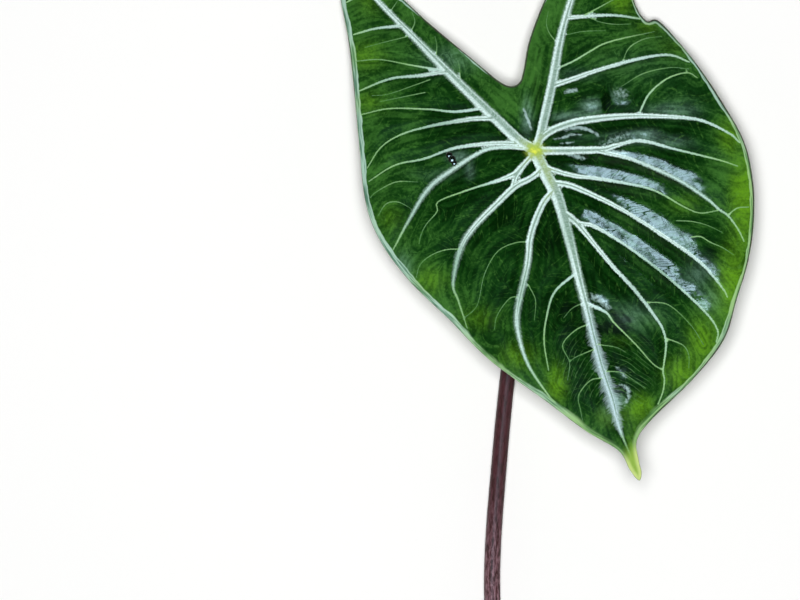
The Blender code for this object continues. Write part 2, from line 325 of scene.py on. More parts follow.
class Painter:
    """One material in the making.

    Attributes:
        material: The material.
        plan: Each point's place in mm.
        near: The numbers that the mesh stores at each point, by name.
    """

    def __init__(self, name: str, stored: tuple[str, ...] = ()) -> None:
        """Starts a material with a Principled shader.

        Args:
            name: The material's name.
            stored: The names of the stored numbers that it reads.
        """
        self.material = bpy.data.materials.new(name)
        self.material.use_nodes = True
        self.plan = self.add(SCALE, self.add(PLACE), (1 / MM, 1 / MM, 1 / MM))
        self.near = {key: self.add(STORED, attribute_name=key) for key in stored}

    def add(self, step: Step, *values: object, **settings: str) -> Socket:
        """Adds a node to the material, as add_node does."""
        return add_node(self.material.node_tree, step, *values, **settings)

    def finish(self, **inputs: object) -> bpy.types.Material:
        """Sets the Principled shader.

        Args:
            inputs: What its inputs hold, by name with underscores for spaces.

        Returns:
            The material.
        """
        tree = self.material.node_tree
        for name, value in inputs.items():
            socket = tree.nodes["Principled BSDF"].inputs[name.replace("_", " ")]
            if isinstance(value, Socket):
                tree.links.new(value, socket)
            else:
                socket.default_value = linear(value) if isinstance(value, str) else value
        return self.material


class Rank(Enum):
    """How big a rib is, which decides its part in the blade's form."""

    MAIN = "main"
    SIDE = "side"
    THIN = "thin"


@dataclass(frozen=True)
class Rib:
    """A rib or vein of the blade.

    Attributes:
        rank: How big it is.
        silver: Half width of its pale band in mm, from its root to its far end.
        route: The points in plan that it passes through, from its root.
        whiskers: How far fine pale hairs stand out from the band in mm, from its root to its far end.
        sheen: How much wax shines on the lamina beside it, from its root to its far end, 0 to 1.
        dip: Where the channel lies across the band, 1 at its left edge and -1 at its right edge.
    """

    rank: Rank
    silver: tuple[float, ...]
    route: Points
    whiskers: tuple[float, ...] = (0.4,)
    sheen: tuple[float, ...] = (0.0,)
    dip: float = 0.0


MAIN, SIDE, THIN = Rank

# Half widths in mm of thin veins that fade out at their far end
FAINT = (0.22, 0.16, 0.08)
FINE = (0.25, 0.16, 0.08)
FIRM = (0.25, 0.19, 0.08)
CLEAR = (0.28, 0.16, 0.08)

# The midrib stays first, because Venation.measure starts with it
RIBS = {
    "midrib": Rib(
        MAIN, (3.1, 3.0, 2.5, 2.0, 1.6, 1.4, 1.45, 1.35, 0.3, 0.05),
        [(0, 0), (7.3, -15), (12, -24.8), (17.5, -45), (22.3, -65), (26.3, -80.3), (28.6, -90.3),
         (30.9, -99.4), (33.2, -107.9), (36.2, -117.1), (39, -125.5), (42.6, -139.5), (48, -152.5),
         (51.6, -162)], (0.2, 0.4, 0.8, 1.0, 1.4, 2.2, 3.0, 3.2, 1.6, 0.1), dip=0.3),
    "left costa": Rib(
        MAIN, (2.6, 2.5, 2.1, 1.9, 1.4, 1.1, 0.9, 0.56),
        [(0, 0), (-8, 5.2), (-18.7, 15.4), (-39.4, 35.6), (-58.3, 55.2), (-77.5, 75), (-86, 85),
         (-92.5, 95)],
        (0.2, 0.8, 1.2, 1.2, 0.9, 0.8), dip=-0.3),
    "right costa": Rib(
        MAIN, (2.2, 2.2, 2.05, 1.6, 1.2, 0.9, 0.56),
        [(0, 0), (2.5, 5), (5, 15), (9.5, 35), (13.2, 55), (18.7, 75), (28, 101), (35, 124)],
        (0.2, 0.8, 1.2, 0.9), dip=-0.15),

    # Right of the midrib, from the lobe down to the tip
    "right tip": Rib(SIDE, (0.7, 0.4, 0.24), [(20.6, 81), (32, 86), (44, 90)]),
    "right 1": Rib(SIDE, (1, 0.64, 0.4), [(16, 66.7), (33, 68), (43, 68), (50.5, 67), (54, 66.6)]),
    "right 1 upper": Rib(THIN, (0.31, 0.25, 0.08), [(24.5, 67.5), (33, 72), (45.5, 79)]),
    "right 1 lower": Rib(THIN, (0.1, 0.2, 0.1), [(28.5, 66.5), (34, 64.5), (41, 63.5), (49, 63.8)]),
    "right 1 lowest": Rib(THIN, (0.1, 0.18, 0.06), [(17, 58.2), (25, 59.8), (36, 60.2)]),
    "right 2 upper": Rib(
        THIN, (0.42, 0.38, 0.34, 0.3, 0.12),
        [(10.5, 40.5), (20.5, 45), (28, 49.5), (38, 54.5), (61, 60)]),
    "right 2": Rib(
        SIDE, (1.3, 0.9, 0.64, 0.4),
        [(8.5, 32), (20.6, 36.1), (33, 40.5), (53, 46), (68, 48), (78, 44.5)]),
    "right 2 twig": Rib(THIN, (0.1, 0.24, 0.2, 0.08), [(44.5, 44.5), (48, 51.5), (55.5, 56), (64.5, 57.5)]),
    "right 2 lower": Rib(THIN, (0.08, 0.22, 0.18, 0.08), [(44, 32), (55, 38.5), (68, 41.5), (78, 41)]),
    "right 3 twig": Rib(
        THIN, (0.46, 0.4, 0.34, 0.24),
        [(53, 19), (58, 28.5), (67, 36), (77, 39), (82, 36.5)]),
    "right 3": Rib(
        SIDE, (1.8, 1.7, 1.15, 0.7, 0.4),
        [(3, 5.5), (7.5, 9), (13.2, 11.7), (23.2, 14.6), (43, 16.9), (63, 17), (83, 15.2), (98, 8.5),
         (103, 4)]),
    "right 4": Rib(
        SIDE, (2, 1.85, 1.7, 0.85, 0.7, 0.5, 0.4, 0.24),
        [(0, 0), (8, -0.4), (33, 0.2), (40.5, 2), (53, 4.7), (70.5, 0.5), (93, -5), (102, -8)],
        sheen=(0, 0, 0, 0.1, 0.2, 0.45, 0.25, 0.2, 0.1, 0, 0)),
    "right 5": Rib(
        SIDE, (1.1, 0.72, 0.62, 0.5, 0.3),
        [(30, 0), (43, -3), (53, -6.2), (72.8, -15.3), (88, -25.6), (92, -29.4), (97, -32.8), (102, -39.5),
         (105, -45.6)], (0.3, 0.4, 1.0, 1.2, 0.6, 0.3), (0.3, 1, 1, 1, 1, 1, 1, 0.4, 0, 0, 0)),
    "right 6": Rib(
        SIDE, (1.3, 0.99, 0.76, 0.6, 0.4, 0.28, 0.24),
        [(4.5, -8), (11, -10.5), (20.5, -13), (33, -14.5), (58, -19.5), (75, -28.5), (83, -31.5),
         (91.6, -30.3)], sheen=(0, 0, 0.2, 0.8, 1, 1, 1, 0.5, 0, 0, 0)),
    "right 7": Rib(
        SIDE, (1.5, 1.15, 0.85, 0.85, 0.7, 0.3),
        [(8, -16.3), (15.3, -17.1), (22.8, -19.6), (43, -29.3), (63, -41.9), (82.5, -55.8), (94, -69),
         (96.5, -73.5)], sheen=(0, 0, 0, 0, 0.7, 1, 1, 1, 1, 0.7, 0)),
    "right 8": Rib(
        SIDE, (1.9, 1.1, 0.85, 0.75, 0.5, 0.36, 0.3),
        [(14, -31), (19, -34.5), (23, -38.5), (38.3, -57.2), (49.9, -69.8), (60.6, -83.8), (64.3, -90.2),
         (65.7, -98), (64.2, -110.2), (64.9, -114.5), (64.2, -120.5), (61.8, -126.8)]),
    "right 9": Rib(
        SIDE, (1.0, 0.6, 0.55, 0.5, 0.35),
        [(23, -36.8), (30.7, -38.6), (48, -49.3), (67.7, -64.5), (85.2, -80.8), (91.5, -90), (91, -96)],
        sheen=(0, 0.6, 1, 1, 1, 1, 0.9, 0.35, 0.2, 0.1, 0)),
    "right 5 fork": Rib(THIN, (0.34, 0.26, 0.2), [(97, -32.4), (101.8, -29), (107.5, -28.5)]),
    "right 6 lower": Rib(
        THIN, (0.2, 0.22, 0.16, 0.08),
        [(71, -35.4), (79, -35.8), (86.5, -37.7), (94, -41.2)]),
    "right 7 upper": Rib(
        THIN, (0.3, 0.26, 0.2, 0.1),
        [(78.5, -43.6), (83, -43.3), (88, -46.2), (94, -48.8), (99.5, -52.3)]),
    "right 9 fork": Rib(THIN, (0.31, 0.19, 0.08), [(65.5, -94), (74, -97.5), (77, -102.5), (77, -109)]),
    "right 9 arch": Rib(THIN, FINE, [(56.5, -76), (67, -77.5), (78, -87.5), (84.5, -97.5)]),
    "right 10": Rib(
        SIDE, (0.9, 0.34, 0.28, 0.24),
        [(25, -76.5), (28.3, -77.6), (36, -81.4), (39.8, -86.4), (50.5, -97.1), (59, -106.7), (64.2, -110)],
        sheen=(0.8, 0.3, 0, 0, 0, 0)),
    "right 11": Rib(THIN, FINE, [(30.3, -97), (40.5, -98.5), (45.5, -101)]),
    "right 12": Rib(THIN, CLEAR, [(33, -110.5), (43, -111), (48, -114), (55.5, -119)]),

    # Left of the midrib, from the tip up to the lobe
    "left 9": Rib(
        SIDE, (0.6, 0.36, 0.24),
        [(21.5, -61), (10.5, -70.5), (6.5, -81.5), (4.8, -95), (7, -110)]),
    "left 8": Rib(
        SIDE, (1.5, 1.6, 1.3, 1.1, 0.7, 0.45, 0.28),
        [(9.8, -20), (4, -27.5), (-1.7, -42.4), (-3.5, -57.5), (-8.4, -80), (-7.8, -92.5), (-3, -107.5),
         (7, -122.5), (10.5, -126)], (0.2, 0.5, 1.2, 1.4, 1.1, 0.6)),
    "left 7": Rib(
        SIDE, (1.4, 1.5, 1.2, 0.85, 0.34, 0.22),
        [(4, -9), (1, -12.2), (-3.2, -14.9), (-9.5, -18.2), (-17.6, -25.8), (-30, -38.5), (-37, -50),
         (-40.5, -67), (-38, -75), (-33.5, -89)], (0.2, 0.5, 1.3, 1.7, 0.3)),
    "left 6 root": Rib(THIN, (1.2, 1.4, 1.8), [(-0.8, -2.5), (-4.8, -7), (-8.3, -11.3)]),
    "left 7 upper": Rib(THIN, (1.4, 1.1, 1.0), [(-8, -11), (-9.6, -14.5), (-10.6, -18.5)]),
    "left 6": Rib(
        THIN, (1.4, 0.5, 0.31, 0.22, 0.08),
        [(-7.8, -10.8), (-10.5, -12.4), (-17.6, -15.2), (-32, -19.7), (-47.8, -25.8), (-48.4, -30.7),
         (-54, -37.4), (-56.5, -42.5), (-57.5, -47)]),
    "left 5": Rib(
        SIDE, (1.0, 0.7, 0.75, 0.75, 0.5, 0.24),
        [(-3, 0.8), (-14.5, 1.4), (-25.5, -0.5), (-39.5, -9), (-52.7, -19.3), (-62.5, -35), (-70.5, -50)],
        (0.2, 0.7, 1.5, 1.5, 0.8)),
    "left 4": Rib(
        SIDE, (1.2, 0.9, 0.55, 0.36, 0.24),
        [(-6, 3), (-19.5, 3.4), (-39.6, 1.0), (-54.8, -4.3), (-69.5, -7.5), (-82.5, -15.5)]),
    "left 3": Rib(
        SIDE, (1.2, 0.9, 0.45, 0.3, 0.24),
        [(-20, 16), (-32, 15.5), (-54.5, 11.5), (-68, 7.2), (-77, 1), (-83.5, -9)]),
    "left 2": Rib(
        SIDE, (0.7, 0.35, 0.24),
        [(-25.5, 21), (-39.5, 19.3), (-52, 20.5), (-72, 21), (-86.5, 18)]),
    "left 1": Rib(SIDE, (1, 0.55, 0.32), [(-44.5, 39.5), (-57, 37.6), (-72, 36), (-87.5, 30)]),
    "left 0": Rib(SIDE, (0.6, 0.24, 0.2), [(-45, 40), (-62, 43), (-77, 45.8), (-89.5, 45)]),
    "left edge": Rib(SIDE, (0.8, 0.5, 0.34), [(-66, 63), (-79.5, 61.5), (-90.5, 58.5)]),
    "left tip": Rib(SIDE, (0.6, 0.32), [(-80, 78), (-88, 78), (-94, 75)]),

    # Thin veins of the left half and beside the midrib
    "left 4 lower": Rib(THIN, (0.08, 0.24, 0.2, 0.1), [(-58, -16), (-69, -16), (-79, -21), (-82, -24)]),
    "left 4 arc": Rib(THIN, (0.08, 0.2, 0.2, 0.08), [(-62, -29), (-68, -26), (-74, -27), (-78, -33)]),
    "left edge lower": Rib(THIN, FAINT, [(-63, 57.5), (-77, 54), (-84.5, 52)]),
    "left 1 lower": Rib(THIN, FAINT, [(-52, 35.5), (-72, 28.5), (-81, 27.5)]),
    "left 1 lowest": Rib(THIN, FAINT, [(-54.5, 29), (-67, 26.5), (-77, 24.5)]),
    "inner left 1": Rib(THIN, FINE, [(-61, 61), (-59.5, 65), (-61, 70)]),
    "inner left 2": Rib(THIN, FINE, [(-49, 46.5), (-48.5, 52.5), (-49.5, 57.5)]),
    "inner left 3": Rib(THIN, FINE, [(-36.5, 33), (-37, 40), (-38, 45)]),
    "inner right": Rib(THIN, CLEAR, [(12.5, 53), (8, 59), (6.5, 64), (7.5, 70)]),
    "lower left 1": Rib(THIN, FIRM, [(-36.5, -49.5), (-44.5, -50), (-52, -53), (-57, -57.5), (-59, -64)]),
    "lower left 2": Rib(
        THIN, FAINT,
        [(-1.5, -46), (-9.5, -46.5), (-18.5, -51), (-25, -62.5), (-28.5, -77.5), (-35.5, -84.5)]),
    "lower left 3": Rib(THIN, FAINT, [(-6, -74), (-12, -74), (-18.5, -82.5), (-20, -90)]),
    "lower left 4": Rib(THIN, FAINT, [(-3, -67.5), (0.5, -75), (0, -85)]),
    "lower midrib 1": Rib(THIN, FINE, [(25.5, -76), (19, -79), (14.5, -84)]),
    "lower midrib 2": Rib(
        THIN, (0.28, 0.19, 0.08),
        [(28.5, -86.5), (20.5, -90), (14, -97.5), (17.5, -106), (16.5, -115)]),
    "lower midrib 3": Rib(THIN, (0.28, 0.19, 0.08), [(31, -99), (20.5, -103.5), (17.5, -106)]),
    "lower midrib 4": Rib(THIN, FIRM, [(35, -114), (28, -115), (22, -122.5), (23, -130), (24, -135)]),

    # Thin veins at the ends of the lobes
    "lobe right 1": Rib(THIN, FIRM, [(26, 95), (36, 102), (38.5, 107)]),
    "lobe right 2": Rib(THIN, FIRM, [(22, 84), (15, 88), (12, 86)]),
    "lobe right 3": Rib(THIN, FIRM, [(28, 100), (21, 103)]),
    "lobe left 1": Rib(THIN, FIRM, [(-72, 70), (-68, 76)]),
    "lobe left 2": Rib(THIN, FIRM, [(-80, 78), (-76, 84)]),
}

# The blade's edge, clockwise from the right side of the notch between the lobes
MARGIN = [
    (-11.7, 32), (-7, 34), (-5, 40), (-2, 55), (5.5, 75), (17, 99), (29.5, 124), (34.5, 129), (38.5, 125),
    (44, 102.5), (51, 75), (57, 65.5), (64, 65), (80.5, 45), (94, 25), (105, 5), (109.5, -15), (110, -35),
    (107, -55), (101, -75), (94.5, -95), (78.5, -115), (58, -135), (51, -145), (52, -155), (53.4, -161),
    (52.3, -165), (48, -160), (42, -150), (25.5, -140), (5.5, -125), (-22, -105), (-42, -85), (-62.5, -65),
    (-77, -45), (-84.3, -25), (-87.5, 5), (-92, 50), (-96.5, 75), (-98.7, 91), (-96, 99), (-91, 99.5),
    (-77, 87.5), (-53.5, 65), (-30, 45), (-18, 35),
]


@dataclass(frozen=True)
class Patch:
    """A soft oval of the plan, in mm, where something is stronger.

    Attributes:
        centre: The middle of the oval.
        radius: Its reach across and along the leaf.
        strength: How strong it is in the middle.
    """

    centre: tuple[float, float]
    radius: tuple[float, float]
    strength: float = 1.0


def patch_field(xy: np.ndarray, patches: list[Patch]) -> np.ndarray:
    """Sums the strengths of soft patches.

    Args:
        xy: Points of the plan.
        patches: The patches.

    Returns:
        The strength at each point.
    """
    total = np.zeros(len(xy))
    for patch in patches:
        total += patch.strength * np.exp(-(((xy - patch.centre) / patch.radius) ** 2).sum(axis=1))
    return total


@dataclass(frozen=True)
class Fold:
    """A small crease that stands up from the lamina.

    Attributes:
        route: The points in plan that its ridge passes through.
        reach: Half width of the crease in mm.
        height: How high its ridge stands in mm.
        ridge_highlight: How bright the highlight painted along its ridge is, 0 to 1.
    """

    route: Points
    reach: float
    height: float
    ridge_highlight: float = 0.0


# Beside the joint, near the tip, on the right half and in the notch between the lobes
FOLDS = [
    Fold([(14, 9), (18.5, 11), (25, 10.8), (31, 8.2), (33, 6)], 1.2, 0.35, 1.0),
    Fold([(9, 5.5), (14, 6), (19, 7.6), (25, 7.6)], 1.0, 0.35, 0.75),
    Fold([(12, 3.2), (16, 3.4), (21, 4.4)], 0.9, 0.3, 0.5),
    Fold([(15.5, -1.5), (20, -3), (27, -4.6)], 1.5, 0.35, 0.75),
    Fold([(26, -72.5), (30, -73.6), (34, -76), (38.5, -80.5)], 2.2, 0.35, 0.7),
    Fold([(41, -117), (45, -117.8), (47, -121.5), (45.8, -126), (42, -128)], 1.7, 0.35, 0.6),
    Fold([(39.5, -107.5), (43, -110.5), (46.5, -114.5)], 1.4, 0.35, 0.5),
    Fold([(39.5, 27.5), (43.5, 28.8), (47.5, 26)], 3.4, 0.6, 0.45),
    Fold([(24, 20), (28, 23), (33.5, 24.5)], 3.0, 0.3, 0.2),
    Fold([(14.5, 28.8), (18.5, 29.8), (22.5, 30.4)], 1.4, 0.3, 0.9),
    Fold([(36.4, 27.5), (36.2, 20.5)], 1.3, -0.4),
    Fold([(30, 1.8), (36, 3.2), (42, 6), (50, 9)], 2.8, 0.15, 0.4),
    Fold([(36, -0.2), (42, -1), (48, -1.2)], 1.5, 0.2, 0.8),
    Fold([(-5.6, 21.5), (-3.6, 16.5), (-1.5, 11.5), (-0.6, 9)], 1.0, 0.3, 0.9),
]

# What each place of the lamina has more or less of
PATCHES = {
    # Yellower green
    "lime": [
        Patch((105, -25), (8, 26), 0.9), Patch((98, -68), (9, 18), 0.8), Patch((84, -95), (9, 14), 0.7),
        Patch((72, -112), (9, 9), 0.7), Patch((53, -128), (7, 7), 0.8), Patch((97, 8), (6, 10), 0.6),
        Patch((-84, 48), (12, 9), 0.5), Patch((-82, 24), (11, 7), 0.45), Patch((-82, 76), (9, 10), 0.4),
        Patch((-72, -34), (8, 9), 0.4), Patch((-52, -65), (10, 8), 0.55), Patch((-28, -84), (14, 8), 0.4),
        Patch((-8, -103), (11, 8), 0.55), Patch((11, -117), (6, 11), 0.7), Patch((38, -133), (8, 6), 0.6),
        Patch((75, -27), (11, 6), 0.4), Patch((44, 78), (8, 10), 0.75), Patch((58, 62), (7, 4), 0.5),
        Patch((72, 52), (12, 6), 0.35), Patch((52, -152), (8, 12), 0.8), Patch((30, 112), (8, 12), 0.5),
        Patch((42, -95), (12, 5), 0.25),
    ],
    # Lighter green, or darker where it is below 0
    "bright": [
        Patch((50, 45), (34, 22), 0.2), Patch((12, 80), (22, 32), 0.4), Patch((-75, 60), (20, 36), 0.3),
        Patch((-66, -8), (24, 26), 0.2), Patch((-45, -62), (24, 22), 0.15),
        Patch((2, -108), (26, 14), 0.08), Patch((88, -84), (16, 22), 0.25),
        Patch((70, -30), (24, 12), 0.25), Patch((50, -85), (14, 6), 0.4), Patch((96, -12), (12, 24), 0.3),
        Patch((-12, 25), (12, 7), 0.3), Patch((0, 45), (5, 24), 0.3), Patch((20, -105), (10, 16), -0.2),
        Patch((46, -108), (11, 10), -0.15), Patch((40, -42), (22, 7), 0.1), Patch((54, 9), (26, 4), -0.25),
        Patch((-36, 44), (18, 12), 0.15), Patch((-46, -79), (10, 9), 0.35),
    ],
    # Deep shadow
    "dark": [
        Patch((10, -44), (6, 18), 0.8), Patch((-9, -38), (9, 14), 0.6), Patch((41, -88), (9, 7), 0.5),
        Patch((46, -119), (8, 5), 0.6), Patch((16, -92), (5, 10), 0.6), Patch((25, 27), (22, 6), 0.5),
        Patch((30, -33), (12, 8), 0.3), Patch((-30, 10), (16, 4), 0.5), Patch((2, 25), (3, 22), 0.6),
        Patch((-30, -52), (7, 12), 0.4), Patch((-42, 4), (12, 4), 0.5), Patch((17, 8), (12, 5), 0.8),
        Patch((16, -6), (12, 2.5), 0.9), Patch((28, 50), (20, 9), 0.4), Patch((-52, 15), (20, 4), 0.4),
        Patch((36.3, 23.8), (1.4, 3.4), 6.0), Patch((38, -89), (8, 2.6), 2.0),
        Patch((40.5, -119.5), (4, 1.8), 2.5), Patch((40, -81.5), (5, 2), 1.0),
        Patch((45.3, -84.6), (4, 1.6), 1.6), Patch((88, -51), (4, 7), 0.9), Patch((17, -79), (7, 3), 1.4),
        Patch((30, -93), (4, 5), 0.6),
    ],
    # Ribs that are green rather than silver
    "fresh": [
        Patch((-72, 0), (34, 70), 0.7), Patch((-40, -58), (12, 18), 0.7), Patch((-6, -72), (8, 18), 0.7),
        Patch((7, -80), (6, 16), 0.9), Patch((64, -62), (14, 8), 0.9), Patch((52, -80), (12, 20), 0.5),
        Patch((-44, 12), (12, 6), 0.4), Patch((15.5, -44), (6, 16), 0.5),
    ],
    # Painted sheen, a pale bluish highlight
    "painted_sheen": [
        Patch((52, 42), (22, 10), 0.07), Patch((-38, -3.5), (5, 2.5), 0.6),
        Patch((-32, -10.5), (2, 3.5), 0.6), Patch((-3.5, 17), (2.5, 8), 0.7),
        Patch((50, -83), (12, 6), 0.3), Patch((-40, 46), (14, 6), 0.35),
        Patch((-65.5, -60), (4.5, 7), 0.5), Patch((41, -125), (3.2, 3.2), 1.0),
        Patch((38, -131), (4, 5), 0.4), Patch((29, 21.8), (4.5, 3.2), 0.9),
        Patch((19, 16.6), (9, 2.2), 0.7), Patch((68, 20), (11, 2.6), 0.5),
        Patch((36.3, 23.8), (1.8, 3.8), -1.0), Patch((41, 27), (4, 3), 0.4), Patch((82, -62), (6, 6), 0.4),
        Patch((22, 38), (10, 3), 0.2), Patch((74, 22), (10, 6), 0.1), Patch((46, 6), (10, 2.6), 0.5),
        Patch((55, 7.2), (6, 2.6), 0.9), Patch((68, 4), (9, 2.6), 0.4), Patch((89, -74), (5, 6), 0.3),
        Patch((-50, -12), (12, 3), 0.12), Patch((20, 8), (9, 3), 0.1),
    ],
    # An even comb of veinlets
    "comb": [
        Patch((50, -108), (10, 14), 0.75), Patch((20, -108), (11, 16), 0.5),
        Patch((38, -118), (16, 10), 0.5),
    ],
    # Fine cracks across the wax
    "crease": [
        Patch((51, -30), (9, 5), 1.0), Patch((40, -41), (8, 4), 0.8), Patch((44, 26), (6, 4), 0.9),
        Patch((66, -60), (9, 5), 1.0), Patch((84, -50), (7, 10), 1.0), Patch((80, -72), (8, 6), 1.0),
        Patch((60, -2), (14, 4), 0.5), Patch((44, -14), (12, 4), 0.5), Patch((42, -122), (7, 9), 0.8),
        Patch((50, 5), (12, 4), 0.6),
    ],
    # Shining wax besides that along the ribs, or less of it where it is below 0
    "gloss": [
        Patch((43.5, 26.5), (6, 3.5), 1.3), Patch((29, 21.5), (6, 4), 0.5),
        Patch((22, -3.5), (6, 2.5), 1.0), Patch((32, -76), (6, 4), 0.7), Patch((43, -122), (6, 7), 0.5),
        Patch((43, -111), (5, 3), 0.5), Patch((-4, 16), (3, 8), 0.5), Patch((62, 21), (8, 2.5), 0.25),
        Patch((36.5, 23.5), (2.2, 4.5), -2.5), Patch((24, 8), (8, 6), -1.0),
        Patch((88, -45.5), (6.5, 8), -1.5), Patch((76.5, -68.5), (5, 3.4), 0.6),
        Patch((84.5, -76.5), (4.5, 4), 0.7), Patch((80, -63), (5, 3.5), -0.6),
    ],
    # More width of the pale band along the edge, in mm
    "edge_band": [
        Patch((-92, 40), (30, 60), 1.3), Patch((-80, -35), (22, 34), 0.6),
        Patch((-45, -88), (34, 26), 1.3), Patch((-67, -60), (12, 14), 1.3),
        Patch((10, -130), (34, 16), 1.7), Patch((66, -128), (20, 16), 1.5),
        Patch((95, -92), (14, 26), 1.3), Patch((108, -20), (10, 40), 0.9), Patch((95, 28), (16, 16), 0.7),
        Patch((63, 64), (9, 6), 0.8), Patch((-12, 32), (16, 10), -1.5), Patch((-46, 60), (26, 14), -1.5),
        Patch((-1, 70), (8, 36), -1.5),
    ],
    # Where the band is greener and soft
    "edge_fresh": [
        Patch((-24, -106), (34, 22), 0.7), Patch((28, -142), (32, 18), 1.0),
        Patch((64, -138), (18, 18), 0.9),
    ],
    # Where a dark line runs outside the band
    "edge_dark": [
        Patch((108, -30), (16, 50), 1.0), Patch((92, 32), (22, 22), 1.0), Patch((64, 66), (16, 12), 1.0),
        Patch((92, -100), (20, 24), 0.9), Patch((66, -130), (16, 14), 0.8),
        Patch((-12, 32), (30, 16), 1.0), Patch((-50, 62), (24, 24), 1.0), Patch((2, 70), (14, 40), 1.0),
        Patch((44, 95), (10, 30), 1.0), Patch((-94, 40), (8, 50), 0.5),
    ],
    # The yellow drip tip, the yellow heart over the joint, and the greener ribs round it
    "tip": [Patch((52, -158), (9, 12))],
    "heart": [Patch((0.5, -0.2), (4.6, 4))],
    "core": [Patch((0, 0), (11, 10)), Patch((7, -18), (5, 14), 0.7)],
}

# The numbers stored at the blade's points, which its skin reads
SKIN_FIELDS = (
    "rib_edge", "rib_gap", "rib_half", "rib_flow", "rib_run", "main_flow", "rib_below", "rib_east",
    "rib_across", "whisker", "bright", "edge_gap", "edge_run", "edge_band", "edge_fresh", "edge_dark",
    "lime", "dark", "painted_sheen", "comb", "crease", "fresh", "ridge_highlight", "gloss", "tip", "heart", "core",
)


@dataclass(frozen=True)
class LeafSkin:
    """The waxy upper skin: mottled greens, silver ribs with fine hairs, a pale edge band and a clear gloss.

    The real hairs and veinlets are finer than a picture of the whole leaf can show, so they are drawn as
    coarse as they need to show. Sizes that end in mm are the spacing of what they are named for, and depths
    are in mm too.
    """

    deep: str = "#041f04"
    middle: str = "#0f370e"
    light: str = "#3b6e2b"
    lime: str = "#5f961c"
    shadow: str = "#031604"
    silver: str = "#e2fbf8"
    silver_far: str = "#bcdfd6"
    silver_blue_sheen: str = "#bdd8e2"
    silver_fresh: str = "#8fb59d"
    painted_sheen: str = "#a8ccd4"
    grey_tone_sheen_and_shade: str = "#7aa091"
    ridge_highlight: str = "#abcac8"
    fuzz_green: str = "#a2c6b0"
    fuzz_blue_sheen: str = "#c2e0e4"
    vein: str = "#98c880"
    veinlet: str = "#4f8438"
    comb: str = "#5f8f55"
    groove: str = "#6f8e7c"
    core: str = "#8fa968"
    edge: str = "#58806c"
    edge_light: str = "#a9ccba"
    edge_lime: str = "#9cc684"
    edge_line: str = "#3c4438"
    heart: str = "#a9c24c"
    heart_glow: str = "#ecf25c"
    tip: str = "#c4d884"
    tip_middle: str = "#8fb24c"
    bloom_mm: float = 13.0
    mottle_mm: float = 1.5
    streak_mm: float = 2.2
    hair_mm: float = 0.45
    tuft_mm: float = 1.0
    ragged_mm: float = 0.7
    veinlet_mm: float = 3.2
    comb_mm: float = 3.1
    comb_wobble_mm: float = 16.0
    comb_break_mm: float = 4.0
    areole_mm: float = 3.0
    dimple_mm: float = 4.0
    dimple_depth: float = 0.12
    veinlet_depth: float = 0.016
    areole_depth: float = 0.01
    wax_mm: float = 2.4
    wax_bloom_mm: float = 4.0
    flake_mm: float = 1.5
    crack_mm: float = 3.3
    edge_wander_mm: float = 7.0
    edge_stripe_mm: tuple[float, float] = (14.0, 0.9)
    heart_mm: float = 1.6

    def along_ribs(self, paint: Painter, along: str, across: str, size_mm: float, stretch: float) -> Socket:
        """Coordinates that stretch a texture beside the ribs.

        Args:
            paint: The material in the making.
            along: The stored distance that the texture is stretched along.
            across: The stored distance across that.
            size_mm: The texture's spacing across.
            stretch: How many times longer it is along.

        Returns:
            The coordinates, which differ a little between a rib's two sides.
        """
        add, near = paint.add, paint.near
        apart = add(TIMES, near["rib_below"], 0.35)
        return add(JOIN, add(OVER, near[across], size_mm), add(OVER, near[along], size_mm * stretch), apart)

    def grain(self, paint: Painter, size_mm: float, stretch: float) -> Socket:
        """Coordinates that stretch a texture along the veinlets, as along_ribs does."""
        return self.along_ribs(paint, "rib_gap", "rib_flow", size_mm, stretch)

    def veinlets(self, paint: Painter) -> Socket:
        """Hair-thin lines that leave the ribs at a sharp angle and run out with them.

        Args:
            paint: The material in the making.

        Returns:
            1 on a line and 0 off it.
        """
        add = paint.add
        level = add(MINUS, add(NOISE, self.grain(paint, self.veinlet_mm, 6.0), 1.0, 0.0), 0.5)
        return add(FADE, add(UNSIGNED, level), 0.0, 0.03, 1.0, 0.0)

    def greens(self, paint: Painter, veinlets: Socket) -> Socket:
        """Mixes the lamina's colour between the ribs.

        Args:
            paint: The material in the making.
            veinlets: Where the veinlets are.

        Returns:
            The colour.
        """
        add, near = paint.add, paint.near
        bloom = add(FADE, add(NOISE, paint.plan, 1 / self.bloom_mm, 3.0), 0.3, 0.7, -0.15, 0.15)
        lane = self.along_ribs(paint, "rib_run", "rib_gap", self.streak_mm, 6.0)
        brushed = add(FADE, add(NOISE, lane, 1.0, 1.5), 0.3, 0.7)
        mottle = add(FADE, add(NOISE, paint.plan, 1 / self.mottle_mm, 2.0, 0.6), 0.3, 0.7)
        level = add(PLUS, near["bright"], bloom)
        level = add(PLUS, level, add(FADE, brushed, 0.0, 1.0, -0.14, 0.14))
        level = add(PLUS, level, add(FADE, mottle, 0.0, 1.0, -0.08, 0.08))
        colour = add(BLEND, add(FADE, level, 0.0, 0.5), self.deep, self.middle)
        colour = add(BLEND, add(FADE, level, 0.35, 1.1), colour, self.light)

        # Yellower places, painted deep shadow in the dark places, and painted shadow below each rib
        lime = add(TIMES, near["lime"], add(FADE, brushed, 0.0, 1.0, 0.7, 1.05))
        lime = add(TIMES, lime, add(FADE, mottle, 0.0, 1.0, 0.8, 1.05))
        colour = add(BLEND, add(FADE, lime, 0.02, 1.0), colour, self.lime)
        dark = add(TIMES, near["dark"], add(FADE, brushed, 0.0, 1.0, 1.1, 0.6))
        colour = add(BLEND, add(FADE, dark, 0.0, 1.2), colour, self.shadow)
        shade = add(FADE, near["rib_below"], -0.5, 0.7, 0.1, 0.6)
        shade = add(TIMES, shade, add(FADE, near["rib_half"], 0.25, 0.8))
        shade = add(TIMES, shade, add(FADE, near["rib_edge"], 0.0, 3.0, 1.0, 0.0))
        colour = add(BLEND, shade, colour, self.shadow)

